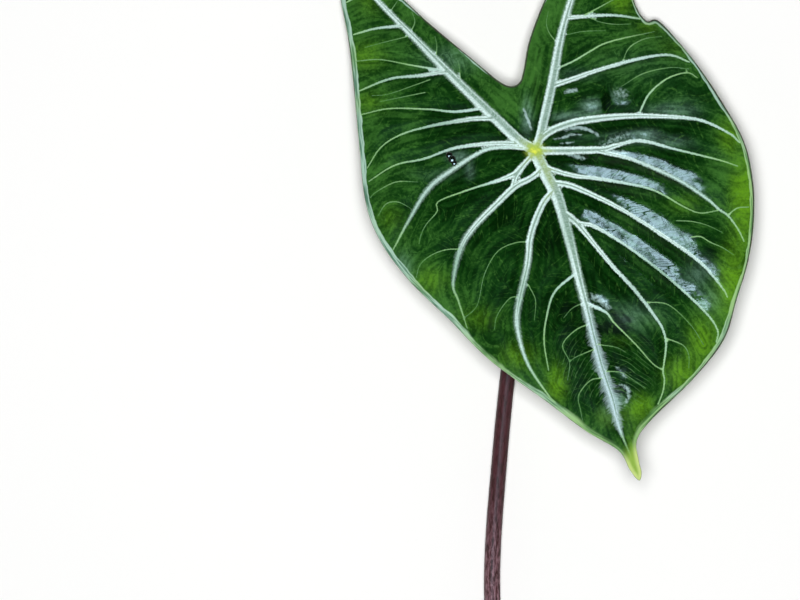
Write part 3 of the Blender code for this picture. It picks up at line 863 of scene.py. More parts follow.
        # Veinlets everywhere, and the even comb of them near the tip
        share = add(TIMES, veinlets, add(FADE, mottle, 0.0, 1.0, 0.05, 0.35))
        colour = add(BLEND, share, colour, self.veinlet)
        wobble = add(FADE, add(NOISE, paint.plan, 1 / self.comb_wobble_mm), 0.2, 0.8, -0.45, 0.45)
        comb = add(PLUS, add(OVER, near["main_flow"], self.comb_mm), wobble)
        comb = add(FADE, add(ZIGZAG, comb, 0.5), 0.38, 0.5, 0.0, 0.8)
        breaks = add(FADE, add(NOISE, paint.plan, 1 / self.comb_break_mm), 0.4, 0.6, 0.2, 1.0)
        comb = add(TIMES, add(TIMES, comb, breaks), near["comb"])
        colour = add(BLEND, comb, colour, self.comb)

        # Painted sheen, and painted highlights along the folds' ridges, broken into flakes
        painted_sheen = add(TIMES, near["painted_sheen"], add(FADE, brushed, 0.0, 1.0, 0.35, 0.9))
        painted_sheen = add(TIMES, painted_sheen, add(FADE, mottle, 0.0, 1.0, 0.6, 1.0))
        bluish = add(BLEND, add(FADE, painted_sheen, 0.5, 1.0), self.grey_tone_sheen_and_shade, self.painted_sheen)
        colour = add(BLEND, painted_sheen, colour, bluish)
        flakes = add(FADE, add(NOISE, paint.plan, 1 / self.flake_mm, 2.0, 0.6), 0.3, 0.7, -0.35, 0.25)
        ridge_highlight = add(FADE, add(PLUS, near["ridge_highlight"], flakes), 0.0, 0.75)
        ridge_highlight = add(TIMES, ridge_highlight, add(FADE, near["ridge_highlight"], 0.0, 0.5, 0.0, 0.75))
        return add(BLEND, ridge_highlight, colour, self.ridge_highlight)

    def ribs(self, paint: Painter) -> tuple[Socket, Socket]:
        """Mixes the colour of the ribs' bands and of the hairs beside them.

        Args:
            paint: The material in the making.

        Returns:
            The colour, and how much of each point it covers.
        """
        add, near = paint.add, paint.near
        hairs = add(NOISE, self.grain(paint, self.hair_mm, 4.0), 1.0, 2.0)
        centre = add(UNSIGNED, near["rib_across"])
        half = near["rib_half"]
        colour = add(BLEND, add(FADE, half, 0.1, 0.35), self.veinlet, self.vein)
        colour = add(BLEND, add(FADE, half, 0.3, 0.6), colour, self.silver_far)
        colour = add(BLEND, add(FADE, half, 0.45, 1.0), colour, self.silver)
        # Long-haired bands, the lower midrib most, take a bluish silver that is partly painted sheen
        colour = add(BLEND, add(FADE, near["whisker"], 1.2, 2.6, 0.0, 0.8), colour, self.silver_blue_sheen)
        fresh = add(TIMES, add(FADE, near["fresh"], 0.0, 1.0, 0.0, 0.85), add(FADE, half, 0.2, 0.6))
        colour = add(BLEND, fresh, colour, self.silver_fresh)
        lengthwise = add(JOIN, add(TIMES, centre, 2.5), near["rib_run"])
        marks = add(FADE, add(NOISE, lengthwise, 1.0, 3.0, 0.6), 0.35, 0.6, 0.45, 0.0)
        colour = add(BLEND, marks, colour, self.grey_tone_sheen_and_shade)
        # Painted shade: each band turns greyer on its side to the right in plan, as if lit from the left
        east = add(TIMES, near["rib_east"], centre)
        colour = add(BLEND, add(FADE, east, 0.1, 0.9, 0.0, 0.4), colour, self.grey_tone_sheen_and_shade)

        # The darker channel along the wide ribs
        spread = add(TIMES, centre, add(FADE, half, 1.0, 2.4, 2.0, 1.0))
        hollow = add(TIMES, add(FADE, spread, 0.25, 0.78, 1.0, 0.0), add(FADE, half, 0.6, 1.2))
        hollow = add(TIMES, hollow, add(FADE, hairs, 0.3, 0.7, 0.6, 1.0))
        bed = add(BLEND, add(FADE, near["core"], 0.2, 0.9), self.groove, self.core)
        colour = add(BLEND, hollow, colour, bed)

        # The band's ragged edge, and the hairs that thin out from it
        ragged = add(FADE, add(NOISE, paint.plan, 1 / self.ragged_mm, 1.0), 0.25, 0.75, -0.22, 0.22)
        ragged = add(TIMES, ragged, add(FADE, half, 0.1, 0.8, 0.2, 1.0))
        edge = add(PLUS, near["rib_edge"], ragged)
        tufts = add(NOISE, self.grain(paint, self.tuft_mm, 5.0), 1.0, 1.0)
        unevenness = add(FADE, near["whisker"], 1.6, 3.2, 0.2, 0.5)
        tufts = add(TIMES, add(FADE, tufts, 0.3, 0.7, -1.0, 1.0), unevenness)
        reach = add(TIMES, near["whisker"], add(PLUS, tufts, 1.0))
        reach = add(TIMES, reach, add(FADE, half, 0.2, 0.9, 0.25, 1.0))
        tail = add(FADE, add(OVER, edge, reach), -0.6, 1.1, 1.15, 0.0)
        tail = add(TIMES, tail, add(FADE, hairs, 0.3, 0.7, 0.55, 0.95))
        # Long hairs take a bluish tint that is partly painted sheen
        fuzz = add(BLEND, add(FADE, near["whisker"], 0.8, 3.2), self.fuzz_green, self.fuzz_blue_sheen)
        fuzz = add(BLEND, add(TIMES, fresh, 0.6), fuzz, self.grey_tone_sheen_and_shade)
        colour = add(BLEND, add(FADE, edge, -0.1, 0.4), colour, fuzz)
        return colour, add(LARGER, add(FADE, edge, -0.35, 0.15, 1.0, 0.0), tail)

    def edging(self, paint: Painter, colour: Socket) -> Socket:
        """Adds the pale band that follows the edge, its bright inner line, and the darker line outside it.

        Args:
            paint: The material in the making.
            colour: The lamina's colour.

        Returns:
            The colour with its edging.
        """
        add, near = paint.add, paint.near
        gap = near["edge_gap"]
        wander = add(FADE, add(NOISE, paint.plan, 1 / self.edge_wander_mm), 0.2, 0.8, -0.4, 0.4)
        inside = add(MINUS, gap, add(PLUS, near["edge_band"], wander))
        length, width = self.edge_stripe_mm
        along = add(JOIN, add(OVER, near["edge_run"], length), add(OVER, gap, width))
        stripes = add(FADE, add(NOISE, along, 1.0, 2.0), 0.38, 0.6)
        fresh = add(FADE, near["edge_fresh"], 0.0, 0.9)
        yellow = add(LARGER, add(FADE, near["lime"], 0.0, 0.6), fresh)
        inside = add(TIMES, inside, add(FADE, fresh, 0.0, 1.0, 1.0, 0.22))
        pale = add(BLEND, yellow, self.edge_light, self.edge_lime)
        band = add(BLEND, stripes, add(BLEND, yellow, self.edge, self.comb), pale)
        colour = add(BLEND, add(FADE, inside, -0.3, 0.3, 0.92, 0.0), colour, band)
        line = add(FADE, add(UNSIGNED, inside), 0.15, 0.5, 0.8, 0.0)
        colour = add(BLEND, add(TIMES, line, add(FADE, fresh, 0.0, 0.6, 1.0, 0.0)), colour, pale)
        rim = add(MINUS, gap, near["edge_dark"])
        return add(BLEND, add(FADE, rim, -0.25, 0.25, 1.0, 0.0), colour, self.edge_line)

    def ends(self, paint: Painter, colour: Socket) -> Socket:
        """Adds the yellow drip tip and the yellow heart where the ribs meet.

        Args:
            paint: The material in the making.
            colour: The colour of lamina and ribs.

        Returns:
            The colour with tip and heart.
        """
        add, near = paint.add, paint.near
        tip = add(BLEND, add(FADE, near["edge_gap"], 0.4, 2.4), self.tip, self.tip_middle)
        colour = add(BLEND, add(FADE, near["tip"], 0.2, 0.85), colour, tip)
        ragged = add(FADE, add(NOISE, paint.plan, 1 / self.heart_mm, 2.0), 0.3, 0.7, 0.7, 1.1)
        heart = add(TIMES, near["heart"], ragged)
        colour = add(BLEND, add(FADE, heart, 0.05, 0.75, 0.0, 0.92), colour, self.heart)
        return add(BLEND, add(FADE, heart, 0.65, 1.05, 0.0, 0.85), colour, self.heart_glow)

    def relief(self, paint: Painter, veinlets: Socket) -> Socket:
        """Raises the skin's dimples, its veinlets and the cells between them.

        Args:
            paint: The material in the making.
            veinlets: Where the veinlets are.

        Returns:
            The surface's direction.
        """
        add = paint.add
        dimples = add(NOISE, paint.plan, 1 / self.dimple_mm, 1.0)
        cells = add(CELLS, paint.plan, 1 / self.areole_mm, feature="DISTANCE_TO_EDGE")
        relief = add(BUMP, dimples, self.dimple_depth * MM)
        relief = add(BUMP, veinlets, self.veinlet_depth * MM, relief)
        return add(BUMP, add(FADE, cells, 0.0, 0.07), self.areole_depth * MM, relief)

    def wax(self, paint: Painter) -> Socket:
        """Spreads the shining wax, with streaks, fine cracks along the veinlets, and thinner places.

        Args:
            paint: The material in the making.

        Returns:
            1 where the wax shines most, and 0 where it is dull.
        """
        add, near = paint.add, paint.near
        streaks = add(FADE, add(NOISE, paint.plan, 1 / self.wax_mm, 3.0, 0.6), 0.3, 0.7, -0.35, 0.35)
        streaks = add(TIMES, streaks, add(FADE, near["gloss"], 0.3, 0.9, 0.25, 1.0))
        wax = add(FADE, add(PLUS, near["gloss"], streaks), 0.15, 0.8)
        level = add(MINUS, add(NOISE, self.grain(paint, self.crack_mm, 2.2), 1.0, 1.5), 0.5)
        crack = add(FADE, add(UNSIGNED, level), 0.006, 0.042, 1.0, 0.0)
        crack = add(TIMES, crack, add(FADE, near["crease"], 0.0, 1.0, 0.3, 1.0))
        wax = add(TIMES, wax, add(MINUS, 1.0, crack))
        thin = add(NOISE, paint.plan, 1 / self.wax_bloom_mm, 3.0, 0.6)
        return add(TIMES, wax, add(FADE, thin, 0.35, 0.65, 0.6, 1.0))

    def material(self) -> bpy.types.Material:
        """Waxed leaf skin, which gives the deep glossy green and the sharp highlights on the quilting.

        Returns:
            The material.
        """
        paint = Painter("waxed_leaf_skin", SKIN_FIELDS)
        add = paint.add
        veinlets = self.veinlets(paint)
        rib_colour, rib_cover = self.ribs(paint)
        colour = self.edging(paint, self.greens(paint, veinlets))
        colour = self.ends(paint, add(BLEND, rib_cover, colour, rib_colour))
        relief = self.relief(paint, veinlets)
        wax = self.wax(paint)
        weight = add(TIMES, add(FADE, wax, 0.0, 1.0, 0.03, 1.0), add(FADE, rib_cover, 0.0, 1.0, 1.0, 0.3))
        return paint.finish(Base_Color=colour, Roughness=0.5, Specular_IOR_Level=0.0, Coat_Weight=weight,
                            Coat_Roughness=add(FADE, wax, 0.0, 1.0, 0.4, 0.11), Coat_IOR=1.5,
                            Normal=relief, Coat_Normal=relief)


@dataclass(frozen=True)
class LeafUnderside:
    """The dull underside, olive with a purple flush, and its paler ridged ribs."""

    olive: str = "#5e7a4a"
    flush: str = "#5d4350"
    rib: str = "#93a97c"
    flush_mm: float = 34.0
    grain_mm: float = 1.4
    pore_mm: float = 1.2
    pore_depth: float = 0.08

    def material(self) -> bpy.types.Material:
        """Matt leaf underside, which gives the pale dull back.

        Returns:
            The material.
        """
        paint = Painter("matt_leaf_underside", ("rib_edge",))
        add = paint.add
        flush = add(FADE, add(NOISE, paint.plan, 1 / self.flush_mm, 3.0), 0.42, 0.7, 0.0, 0.75)
        colour = add(BLEND, flush, self.olive, self.flush)
        grain = add(FADE, add(NOISE, paint.plan, 1 / self.grain_mm, 3.0), 0.3, 0.7, 0.0, 0.3)
        colour = add(BLEND, grain, colour, self.rib)
        cover = add(FADE, paint.near["rib_edge"], -0.2, 0.5, 0.85, 0.0)
        colour = add(BLEND, cover, colour, self.rib)
        relief = add(BUMP, add(NOISE, paint.plan, 1 / self.pore_mm, 3.0), self.pore_depth * MM)
        return paint.finish(Base_Color=colour, Roughness=0.6, Specular_IOR_Level=0.3, Normal=relief)


@dataclass(frozen=True)
class LeafRim:
    """The thin edge that runs round the blade."""

    brown: str = "#6b6250"
    pale: str = "#9fbf8f"
    patch_mm: float = 6.0

    def material(self) -> bpy.types.Material:
        """Corky leaf margin, which draws the thin dark line round the leaf.

        Returns:
            The material.
        """
        paint = Painter("corky_leaf_margin")
        share = paint.add(FADE, paint.add(NOISE, paint.plan, 1 / self.patch_mm, 3.0), 0.35, 0.65)
        return paint.finish(Base_Color=paint.add(BLEND, share, self.brown, self.pale), Roughness=0.55)


@dataclass(frozen=True)
class StalkSkin:
    """The stalk's satin skin: mauve with dark lengthwise blotches and a paler streak.

    Attributes:
        stretch: How much shorter the marks are across the stalk than along it.
        pale_from: Where along the stalk it starts to grow paler in mm, and where it is palest. The darker
            stretch before it is partly painted shade.
        green_to: Where along the stalk the blade's green starts to fade in mm, and where it ends.
    """

    mauve: str = "#46262a"
    pink: str = "#a07c86"
    blotch: str = "#33201f"
    green: str = "#7f9a5a"
    stretch: float = 0.22
    streak_mm: float = 0.9
    blotch_mm: float = 1.5
    groove_mm: float = 0.5
    groove_depth: float = 0.12
    pale_from: tuple[float, float] = (170.0, 240.0)
    green_to: tuple[float, float] = (4.0, 22.0)

    def material(self) -> bpy.types.Material:
        """Satin stalk skin, which gives the mottled mauve of the stem.

        Returns:
            The material.
        """
        paint = Painter("satin_stalk_skin", ("stalk_run", "stalk_side"))
        add, run = paint.add, paint.near["stalk_run"]
        grain = add(JOIN, paint.near["stalk_side"], add(TIMES, run, self.stretch))
        streaks = add(FADE, add(NOISE, grain, 1 / self.streak_mm, 4.0, 0.6), 0.35, 0.7)
        # The dark mauve nearer the blade is partly painted shade; the pink streaks come in towards the cut
        pale = add(TIMES, streaks, add(FADE, run, *self.pale_from, 0.05, 0.85))
        colour = add(BLEND, pale, self.mauve, self.pink)
        spots = add(FADE, add(NOISE, grain, 1 / self.blotch_mm, 5.0, 0.7), 0.48, 0.6)
        colour = add(BLEND, add(TIMES, spots, 0.9), colour, self.blotch)
        colour = add(BLEND, add(FADE, run, *self.green_to, 0.8, 0.0), colour, self.green)
        relief = add(BUMP, add(NOISE, grain, 1 / self.groove_mm, 3.0), self.groove_depth * MM)
        return paint.finish(Base_Color=colour, Roughness=0.42, Specular_IOR_Level=0.1, Coat_Weight=0.04,
                            Coat_Roughness=0.35, Normal=relief)


@dataclass(frozen=True)
class CutFace:
    """The fresh cut across the stalk: pale wet tissue with the ends of its strands, and a darker ring."""

    pith: str = "#c9cf9e"
    strand: str = "#7f8a54"
    ring: str = "#6d4a50"
    strand_mm: float = 0.9

    def material(self) -> bpy.types.Material:
        """Wet cut stalk tissue, which closes the stalk with a pale dotted face.

        Returns:
            The material.
        """
        paint = Painter("wet_cut_stalk", ("stalk_out",))
        add = paint.add
        cells = add(CELLS, paint.plan, 1 / self.strand_mm, feature="F1")
        colour = add(BLEND, add(FADE, cells, 0.15, 0.3, 0.9, 0.0), self.pith, self.strand)
        colour = add(BLEND, add(FADE, paint.near["stalk_out"], 0.84, 0.95), colour, self.ring)
        return paint.finish(Base_Color=colour, Roughness=0.3)


@dataclass(frozen=True)
class WhiteCard:
    """The plain white sheet that the leaf lies on."""

    white: str = "#f8f8f7"

    def material(self) -> bpy.types.Material:
        """White card, which gives the bright plain ground."""
        return Painter("white_card").finish(Base_Color=self.white, Roughness=0.9, Specular_IOR_Level=0.1)


@dataclass(frozen=True)
class Sap:
    """Dark wet sap."""

    dark: str = "#081108"

    def material(self) -> bpy.types.Material:
        """Wet plant sap, which gives black beads with a bright glint."""
        return Painter("dark_sap").finish(Base_Color=self.dark, Roughness=0.06, Coat_Weight=1.0,
                                          Coat_Roughness=0.04)


@dataclass
class Venation:
    """All ribs as lines, and where any point of the plan lies among them.

    Attributes:
        step: Spacing of the lines' points in mm.
        main_slant: How far veinlets run along a main rib for each mm that they leave it, and how fast they
            curl on.
        side_slant: The same beside a side rib.
        thin_slant: The same beside a thin vein.
        sheen_slant: How many mm further along a rib the wax ends for each mm nearer to it.
        lines: Each rib's line, by its name.
    """

    step: float
    main_slant: tuple[float, float] = (0.3, 0.03)
    side_slant: tuple[float, float] = (0.6, 0.04)
    thin_slant: tuple[float, float] = (1.0, 0.0)
    sheen_slant: float = 1.8
    lines: Fields = field(init=False)

    def __post_init__(self) -> None:
        """Draws every rib."""
        self.lines = {name: smooth_route(rib.route, self.step) for name, rib in RIBS.items()}

    def measure(self, xy: np.ndarray) -> Fields:
        """Measures points against the ribs.

        Args:
            xy: Points of the plan.

        Returns:
            By name, in mm: the nearest band's rib_edge, rib_gap, rib_half, rib_run, rib_below, rib_east and
            whisker; rib_across, which is 0 on its centre line and 1 or -1 at its edges; rib_flow, which is
            the same all along a line that leaves the rib as a veinlet does; main_flow, the same for the
            midrib; the gaps form_near and form_next to the two nearest ribs that shape the blade, and the
            nearest one's sheen; and all_near and all_next to any two.
        """
        slants = {MAIN: self.main_slant, SIDE: self.side_slant, THIN: self.thin_slant}
        band, form, every, sheen = {}, [], [], []
        for name, line in self.lines.items():
            rib, near, length = RIBS[name], measure_line(xy, line), run_of(line)[-1]
            gap, half, run = near.gap, stations(rib.silver, near.along), near.along * length
            slant, curl = slants[rib.rank]
            found = {
                "rib_edge": gap - half,
                "rib_gap": gap,
                "rib_half": half,
                "rib_run": run,
                "rib_flow": run - slant * gap - curl * gap ** 2,
                "rib_below": near.below,
                "rib_east": near.east,
                "rib_across": np.clip(near.side * gap / half - rib.dip, -2, 2),
                "whisker": stations(rib.whiskers, near.along),
            }
            if not band:
                main_flow, band = found["rib_flow"], dict(found)
            closer = found["rib_edge"] < band["rib_edge"]
            band = {key: np.where(closer, values, band[key]) for key, values in found.items()}
            every.append(gap)
            if rib.rank is not THIN:
                form.append(gap)
                sheen.append(stations(rib.sheen, near.along + self.sheen_slant * gap / length))
        shine = np.stack(sheen)[np.argmin(form, axis=0), np.arange(len(xy))]
        form_near, form_next = np.partition(np.stack(form), 1, axis=0)[:2]
        all_near, all_next = np.partition(np.stack(every), 1, axis=0)[:2]
        return band | {
            "main_flow": main_flow,
            "sheen": shine,
            "form_near": form_near,
            "form_next": form_next,
            "all_near": all_near,
            "all_next": all_next,
        }


@dataclass
class Blade:
    """The leaf's blade, with its relief and its ribs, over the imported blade's form.

    Lengths are in mm. A pair of sizes is for the joint and for a rib's far end, unless it says otherwise.

    Attributes:
        lamina: Thickness between the ribs.
        crown: Height of the joint.
        fall: Slope down towards the lobes.
        lean: Slope up towards the right.
        dome: How fast the blade falls away from the joint.
        droop: How fast the right lobe curls down on its outer side.
        droop_span: Where along the right lobe the droop starts, and where it is full.
        valley: Depth of the dip over a main rib.
        valley_reach: How far the dip spreads to each side.
        bank: Slope of the lamina beside a rib.
        swell: The most that the lamina swells between ribs.
        roundness: How tightly the swelling's crest is rounded.
        swell_edge: How far from the edge the swelling is full.
        crest_wander: How far the swelling's crest strays.
        wander_size: Spacing of its strayings.
        wander_rise: How far from a rib it starts to stray, and where it strays most.
        small_bank: Slope of the lamina beside a thin vein.
        small_swell: The most that the lamina swells between thin veins.
        small_roundness: How tightly that swelling's crest is rounded.
        small_swell_edge: How far from the edge that swelling is full.
        wave: Height of the waves along the edge.
        wave_count: How many waves run round the edge.
        wave_reach: How far the waves spread inwards.
        crest_rise: Height of the rounded crest over a rib, for each mm of its band's half width.
        crest_slope: How fast the crest falls away across the band.
        channel_depth: Depth of the channel along a wide rib.
        channel_ribs: Half widths of the bands where a channel starts to show and is full.
        channel_width: Half width of the channel, as a share of the band's.
        hub_radius: Radius of the flat place under the joint.
        hub_skirt: Radius where the hub has run out into the lamina.
        main_half: Half width of a main rib underneath.
        main_depth: How far it stands out there.
        side_half: Half width of a side rib underneath.
        side_depth: How far it stands out there.
        rim_bulge: How far the rim stands out past the edge.
        plain_light: How light the green is in the middle.
        edge_light: How much lighter it is at the edge.
        edge_glow: How far that spreads inwards.
        edge_width: Least width of the pale band along the edge.
        dark_width: Where the dark line outside it starts and how wide it grows.
        edge_step: Spacing of the mesh's points along the edge.
        rib_step: Spacing of its points along the ribs.
        grid: Spacing of its points elsewhere.
        fold_step: Spacing of its points along the folds, as a share of grid.
        fill_gap: How near the grid's points may come to others, as a share of grid.
        least_gap: How near points beside the ribs may come to others.
        banded: Half widths above which a rib's band gets mesh lines at its edges, and inside them as well.
    """

    lamina: float = 0.8
    crown: float = 42.0
    fall: float = 0.214
    lean: float = 0.028
    dome: float = 0.00095
    droop: float = 0.016
    droop_span: tuple[float, float] = (45.0, 95.0)
    valley: tuple[float, float] = (1.3, 0.4)
    valley_reach: float = 7.0
    bank: float = 0.31
    swell: float = 2.7
    roundness: int = 8
    swell_edge: float = 14.0
    crest_wander: float = 1.1
    wander_size: float = 6.5
    wander_rise: tuple[float, float] = (0.5, 4.0)
    small_bank: float = 0.09
    small_swell: float = 0.45
    small_roundness: int = 4
    small_swell_edge: float = 5.0
    wave: float = 1.1
    wave_count: int = 17
    wave_reach: float = 11.0
    crest_rise: float = 0.22
    crest_slope: float = 1.2
    channel_depth: float = 0.45
    channel_ribs: tuple[float, float] = (0.9, 2.2)
    channel_width: float = 0.4
    hub_radius: float = 4.2
    hub_skirt: float = 7.5
    main_half: tuple[float, float] = (3.4, 1.0)
    main_depth: tuple[float, float] = (4.0, 0.5)
    side_half: tuple[float, float] = (1.7, 0.9)
    side_depth: tuple[float, float] = (1.6, 0.5)
    rim_bulge: float = 0.2
    plain_light: float = 0.3
    edge_light: float = 0.35
    edge_glow: float = 14.0
    edge_width: float = 0.9
    dark_width: tuple[float, float] = (-0.2, 0.9)
    edge_step: float = 1.0
    rib_step: float = 1.5
    grid: float = 1.25
    fold_step: float = 0.8
    fill_gap: float = 0.62
    least_gap: float = 0.45
    banded: tuple[float, float] = (0.7, 1.4)
    veins: Venation = field(init=False)
    outline: np.ndarray = field(init=False)

    def __post_init__(self) -> None:
        """Draws the outline and the ribs."""
        self.veins = Venation(self.rib_step)
        self.outline = smooth_route(MARGIN, self.edge_step, closed=True)

    def shift(self) -> np.ndarray:
        """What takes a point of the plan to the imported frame, in mm."""
        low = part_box(BLADE_NODE)[0]
        return np.array([low.x, low.y]) / MM - self.outline.min(axis=0)

    def hub_floor(self) -> float:
        """Height of the flat place under the joint where the stalk meets the blade, as it is packed."""
        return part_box(STALK_NODE)[1].z / MM + SEAT_GAP

    def upper_side(self, xy: np.ndarray, seen: Fields) -> np.ndarray:
        """Height of the upper side.

        Args:
            xy: Points of the plan.
            seen: What measure() found there.

        Returns:
            The heights in mm above the surface that the leaf rests on.
        """
        x, y = xy.T
        edge = seen["edge_gap"]
        height = self.crown - self.fall * y + self.lean * x - self.dome * (x ** 2 + y ** 2)
        chord = self.veins.lines["right costa"][-1]
        outward = np.maximum((x * chord[1] - y * chord[0]) / np.linalg.norm(chord), 0.0)
        height -= self.droop * outward ** 2 * ease(y, *self.droop_span)
        turns = 2 * math.pi * self.wave_count * seen["edge_share"]
        height += self.wave * np.exp(-edge / self.wave_reach) * np.sin(turns)
        height += seen["quilt"] * ease(edge, 0.0, self.swell_edge)
        height += self.small_quilt(seen) * ease(edge, 0.0, self.small_swell_edge) + seen["fold"]
        for name, line in self.veins.lines.items():
            if RIBS[name].rank is MAIN:
                near = measure_line(xy, line)
                height -= taper(self.valley, near.along) * np.exp(-near.gap / self.valley_reach)
        return height + self.rib_crest(seen)

    def quilt(self, seen: Fields) -> np.ndarray:
        """How far the lamina swells up between the ribs: even banks that meet in a rounded crest.

        Args:
            seen: What measure() found.

        Returns:
            The rise at each point.
        """
        rise = soft_least(seen["form_near"], seen["form_next"], self.roundness)
        rise = np.maximum(rise + self.crest_wander * seen["wander"] * ease(rise, *self.wander_rise), 0.0)
        return soft_least(self.bank * rise, self.swell, self.roundness)

    def small_quilt(self, seen: Fields) -> np.ndarray:
        """The same between the thin veins, and lower."""
        rise = soft_least(seen["all_near"], seen["all_next"], self.small_roundness)
        return self.small_swell * np.tanh(self.small_bank * rise / self.small_swell)

    def rib_crest(self, seen: Fields) -> np.ndarray:
        """A low rounded crest over each rib, with a channel along the wide ones.

        Args:
            seen: What measure() found.

        Returns:
            The rise at each point.
        """
        half = seen["rib_half"]
        share = np.clip(seen["rib_gap"] / half, 0.0, 2.0)
        crest = self.crest_rise * half * np.exp(-self.crest_slope * share ** 2)
        channel = self.channel_depth * ease(half, *self.channel_ribs)
        return crest - channel * np.exp(-(share / self.channel_width) ** 2)

    def thickness(self, xy: np.ndarray) -> np.ndarray:
        """The lamina with its ribs standing out underneath.

        Args:
            xy: Points of the plan.

        Returns:
            The thickness at each point.
        """
        under = {MAIN: (self.main_half, self.main_depth), SIDE: (self.side_half, self.side_depth)}
        depth = np.zeros(len(xy))
        for name, line in self.veins.lines.items():
            if RIBS[name].rank in under:
                half, deep = under[RIBS[name].rank]
                near = measure_line(xy, line)
                back = np.clip(1.0 - (near.gap / taper(half, near.along)) ** 2, 0.0, 1.0)
                depth = np.maximum(depth, taper(deep, near.along) * back)
        return self.lamina + depth

    def guides(self) -> np.ndarray:
        """Points on lines beside the outline, down the flanks of the ribs and across the folds.

        Returns:
            The points, one row each.
        """
        inward = -left_of(self.outline, closed=True)
        beside = [self.outline + reach * inward for reach in (self.grid, 2 * self.grid)]
        for name, line in self.veins.lines.items():
            half = stations(RIBS[name].silver, np.linspace(0.0, 1.0, len(line)))
            side = left_of(line) * half[:, None]
            for least, share in zip(self.banded, (1.0, 0.5)):
                wide = half > least
                beside += [line[wide] + share * side[wide], line[wide] - share * side[wide]]
        for fold in FOLDS:
            line = smooth_route(fold.route, self.fold_step * self.grid)
            beside += [line + share * fold.reach * left_of(line) for share in (-1.0, -0.5, 0.0, 0.5, 1.0)]
        return np.vstack(beside)

    def plan(self) -> tuple[np.ndarray, np.ndarray]:
        """Meshes the plan, with edges along the outline and every rib.

        Returns:
            The plan's points, the outline's first, and the triangles between them.
        """
        count = len(self.outline)
        edges = [(i, (i + 1) % count) for i in range(count)]
        points = [self.outline]
        for line in self.veins.lines.values():
            edges += [(count + i, count + i + 1) for i in range(len(line) - 1)]
            points.append(line)
            count += len(line)
        points = np.vstack(points)
        points = np.vstack([points, drop_near(self.guides(), points, self.least_gap)])

        # A triangular grid fills the rest
        low, high = self.outline.min(axis=0), self.outline.max(axis=0)
        columns = np.arange(low[0], high[0], self.grid)
        rows = np.arange(low[1], high[1], self.grid * math.sqrt(0.75))
        grid = np.array([(x + (i % 2) * self.grid / 2, y) for i, y in enumerate(rows) for x in columns])
        points = np.vstack([points, drop_near(grid, points, self.fill_gap * self.grid)])
        kept = is_inside(points, self.outline)
        kept[:count] = True

        points = [Vector(p) for p in points[kept]]
        within_edges, weld = 1, 1e-4
        drawn, _, triangles, *_ = delaunay_2d_cdt(points, edges, [], within_edges, weld, False)
        xy, triangles = np.array([tuple(p) for p in drawn]), np.array(triangles)
        return xy, triangles[is_inside(xy[triangles].mean(axis=1), self.outline)]

    def measure(self, xy: np.ndarray) -> Fields:
        """Finds everything that the form and the finish need to know of each point.

        Args:
            xy: Points of the plan.

        Returns:
            The numbers by name: those of Venation.measure, those of SKIN_FIELDS, and what the form needs.
        """
        seen = self.veins.measure(xy) | {name: patch_field(xy, spots) for name, spots in PATCHES.items()}
        margin = np.vstack([self.outline, self.outline[:1]])
        near = measure_line(xy, margin)
        seen |= {"edge_gap": near.gap, "edge_share": near.along, "edge_run": near.along * run_of(margin)[-1]}
        places = [(x / self.wander_size, y / self.wander_size, 0.5) for x, y in xy]
        seen["wander"] = np.array([noise.noise(place) for place in places])
        seen["quilt"] = self.quilt(seen)
        seen["fold"], seen["ridge_highlight"] = np.zeros(len(xy)), np.zeros(len(xy))
        for fold in FOLDS:
            near = measure_line(xy, smooth_route(fold.route, self.rib_step))
            ridge = np.exp(-(near.gap / fold.reach) ** 2)
            seen["fold"] += fold.height * ridge
            # A painted highlight along the fold's ridge, fading out at its ends
            pale = fold.ridge_highlight * ridge ** 2 * np.sin(np.pi * near.along) ** 0.5
            seen["ridge_highlight"] = np.maximum(seen["ridge_highlight"], pale)
        seen["gloss"] = np.clip(seen["sheen"] + seen["gloss"], 0.0, 1.0)
        seen["bright"] += self.plain_light + self.edge_light * np.exp(-seen["edge_gap"] / self.edge_glow)
        seen["edge_band"] += self.edge_width
        start, width = self.dark_width
        seen["edge_dark"] = start + width * np.clip(seen["edge_dark"], 0.0, 1.0)
        return seen

    def build(self) -> bpy.types.Object:
        """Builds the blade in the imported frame's place.

        Returns:
            The blade's object.
        """
        xy, triangles = self.plan()
        seen = self.measure(xy)
        top = self.upper_side(xy, seen)
        bottom = top - self.thickness(xy)
        hub = 1.0 - ease(np.linalg.norm(xy, axis=1), self.hub_radius, self.hub_skirt)
        bottom = np.maximum(bottom + (self.hub_floor() - bottom) * hub, 0.0)
        top = np.maximum(top, bottom + self.lamina)

        count, turns = len(xy), len(self.outline)
        bulge = self.outline + self.rim_bulge * left_of(self.outline, closed=True)
        rim = np.column_stack([bulge, (top[:turns] + bottom[:turns]) / 2])
        points = np.vstack([np.column_stack([xy, top]), np.column_stack([xy, bottom]), rim])
        points[:, :2] += self.shift()

        upper = [tuple(t) for t in triangles.tolist()]
        lower = [(c + count, b + count, a + count) for a, b, c in upper]
        wall = []
        for i in range(turns):
            j = (i + 1) % turns
            middle, ahead = 2 * count + i, 2 * count + j
            wall += [(i, j, ahead, middle), (middle, ahead, j + count, i + count)]
        finishes = [LeafSkin().material(), LeafUnderside().material(), LeafRim().material()]
        blade = new_piece("blade_with_ribs", points * MM, upper + lower + wall, finishes)
        which = np.repeat([0, 1, 2], [len(upper), len(lower), len(wall)])
        blade.data.polygons.foreach_set("material_index", which)
        for name in SKIN_FIELDS:
            store(blade, name, np.concatenate([seen[name], seen[name], seen[name][:turns]]))
        return blade


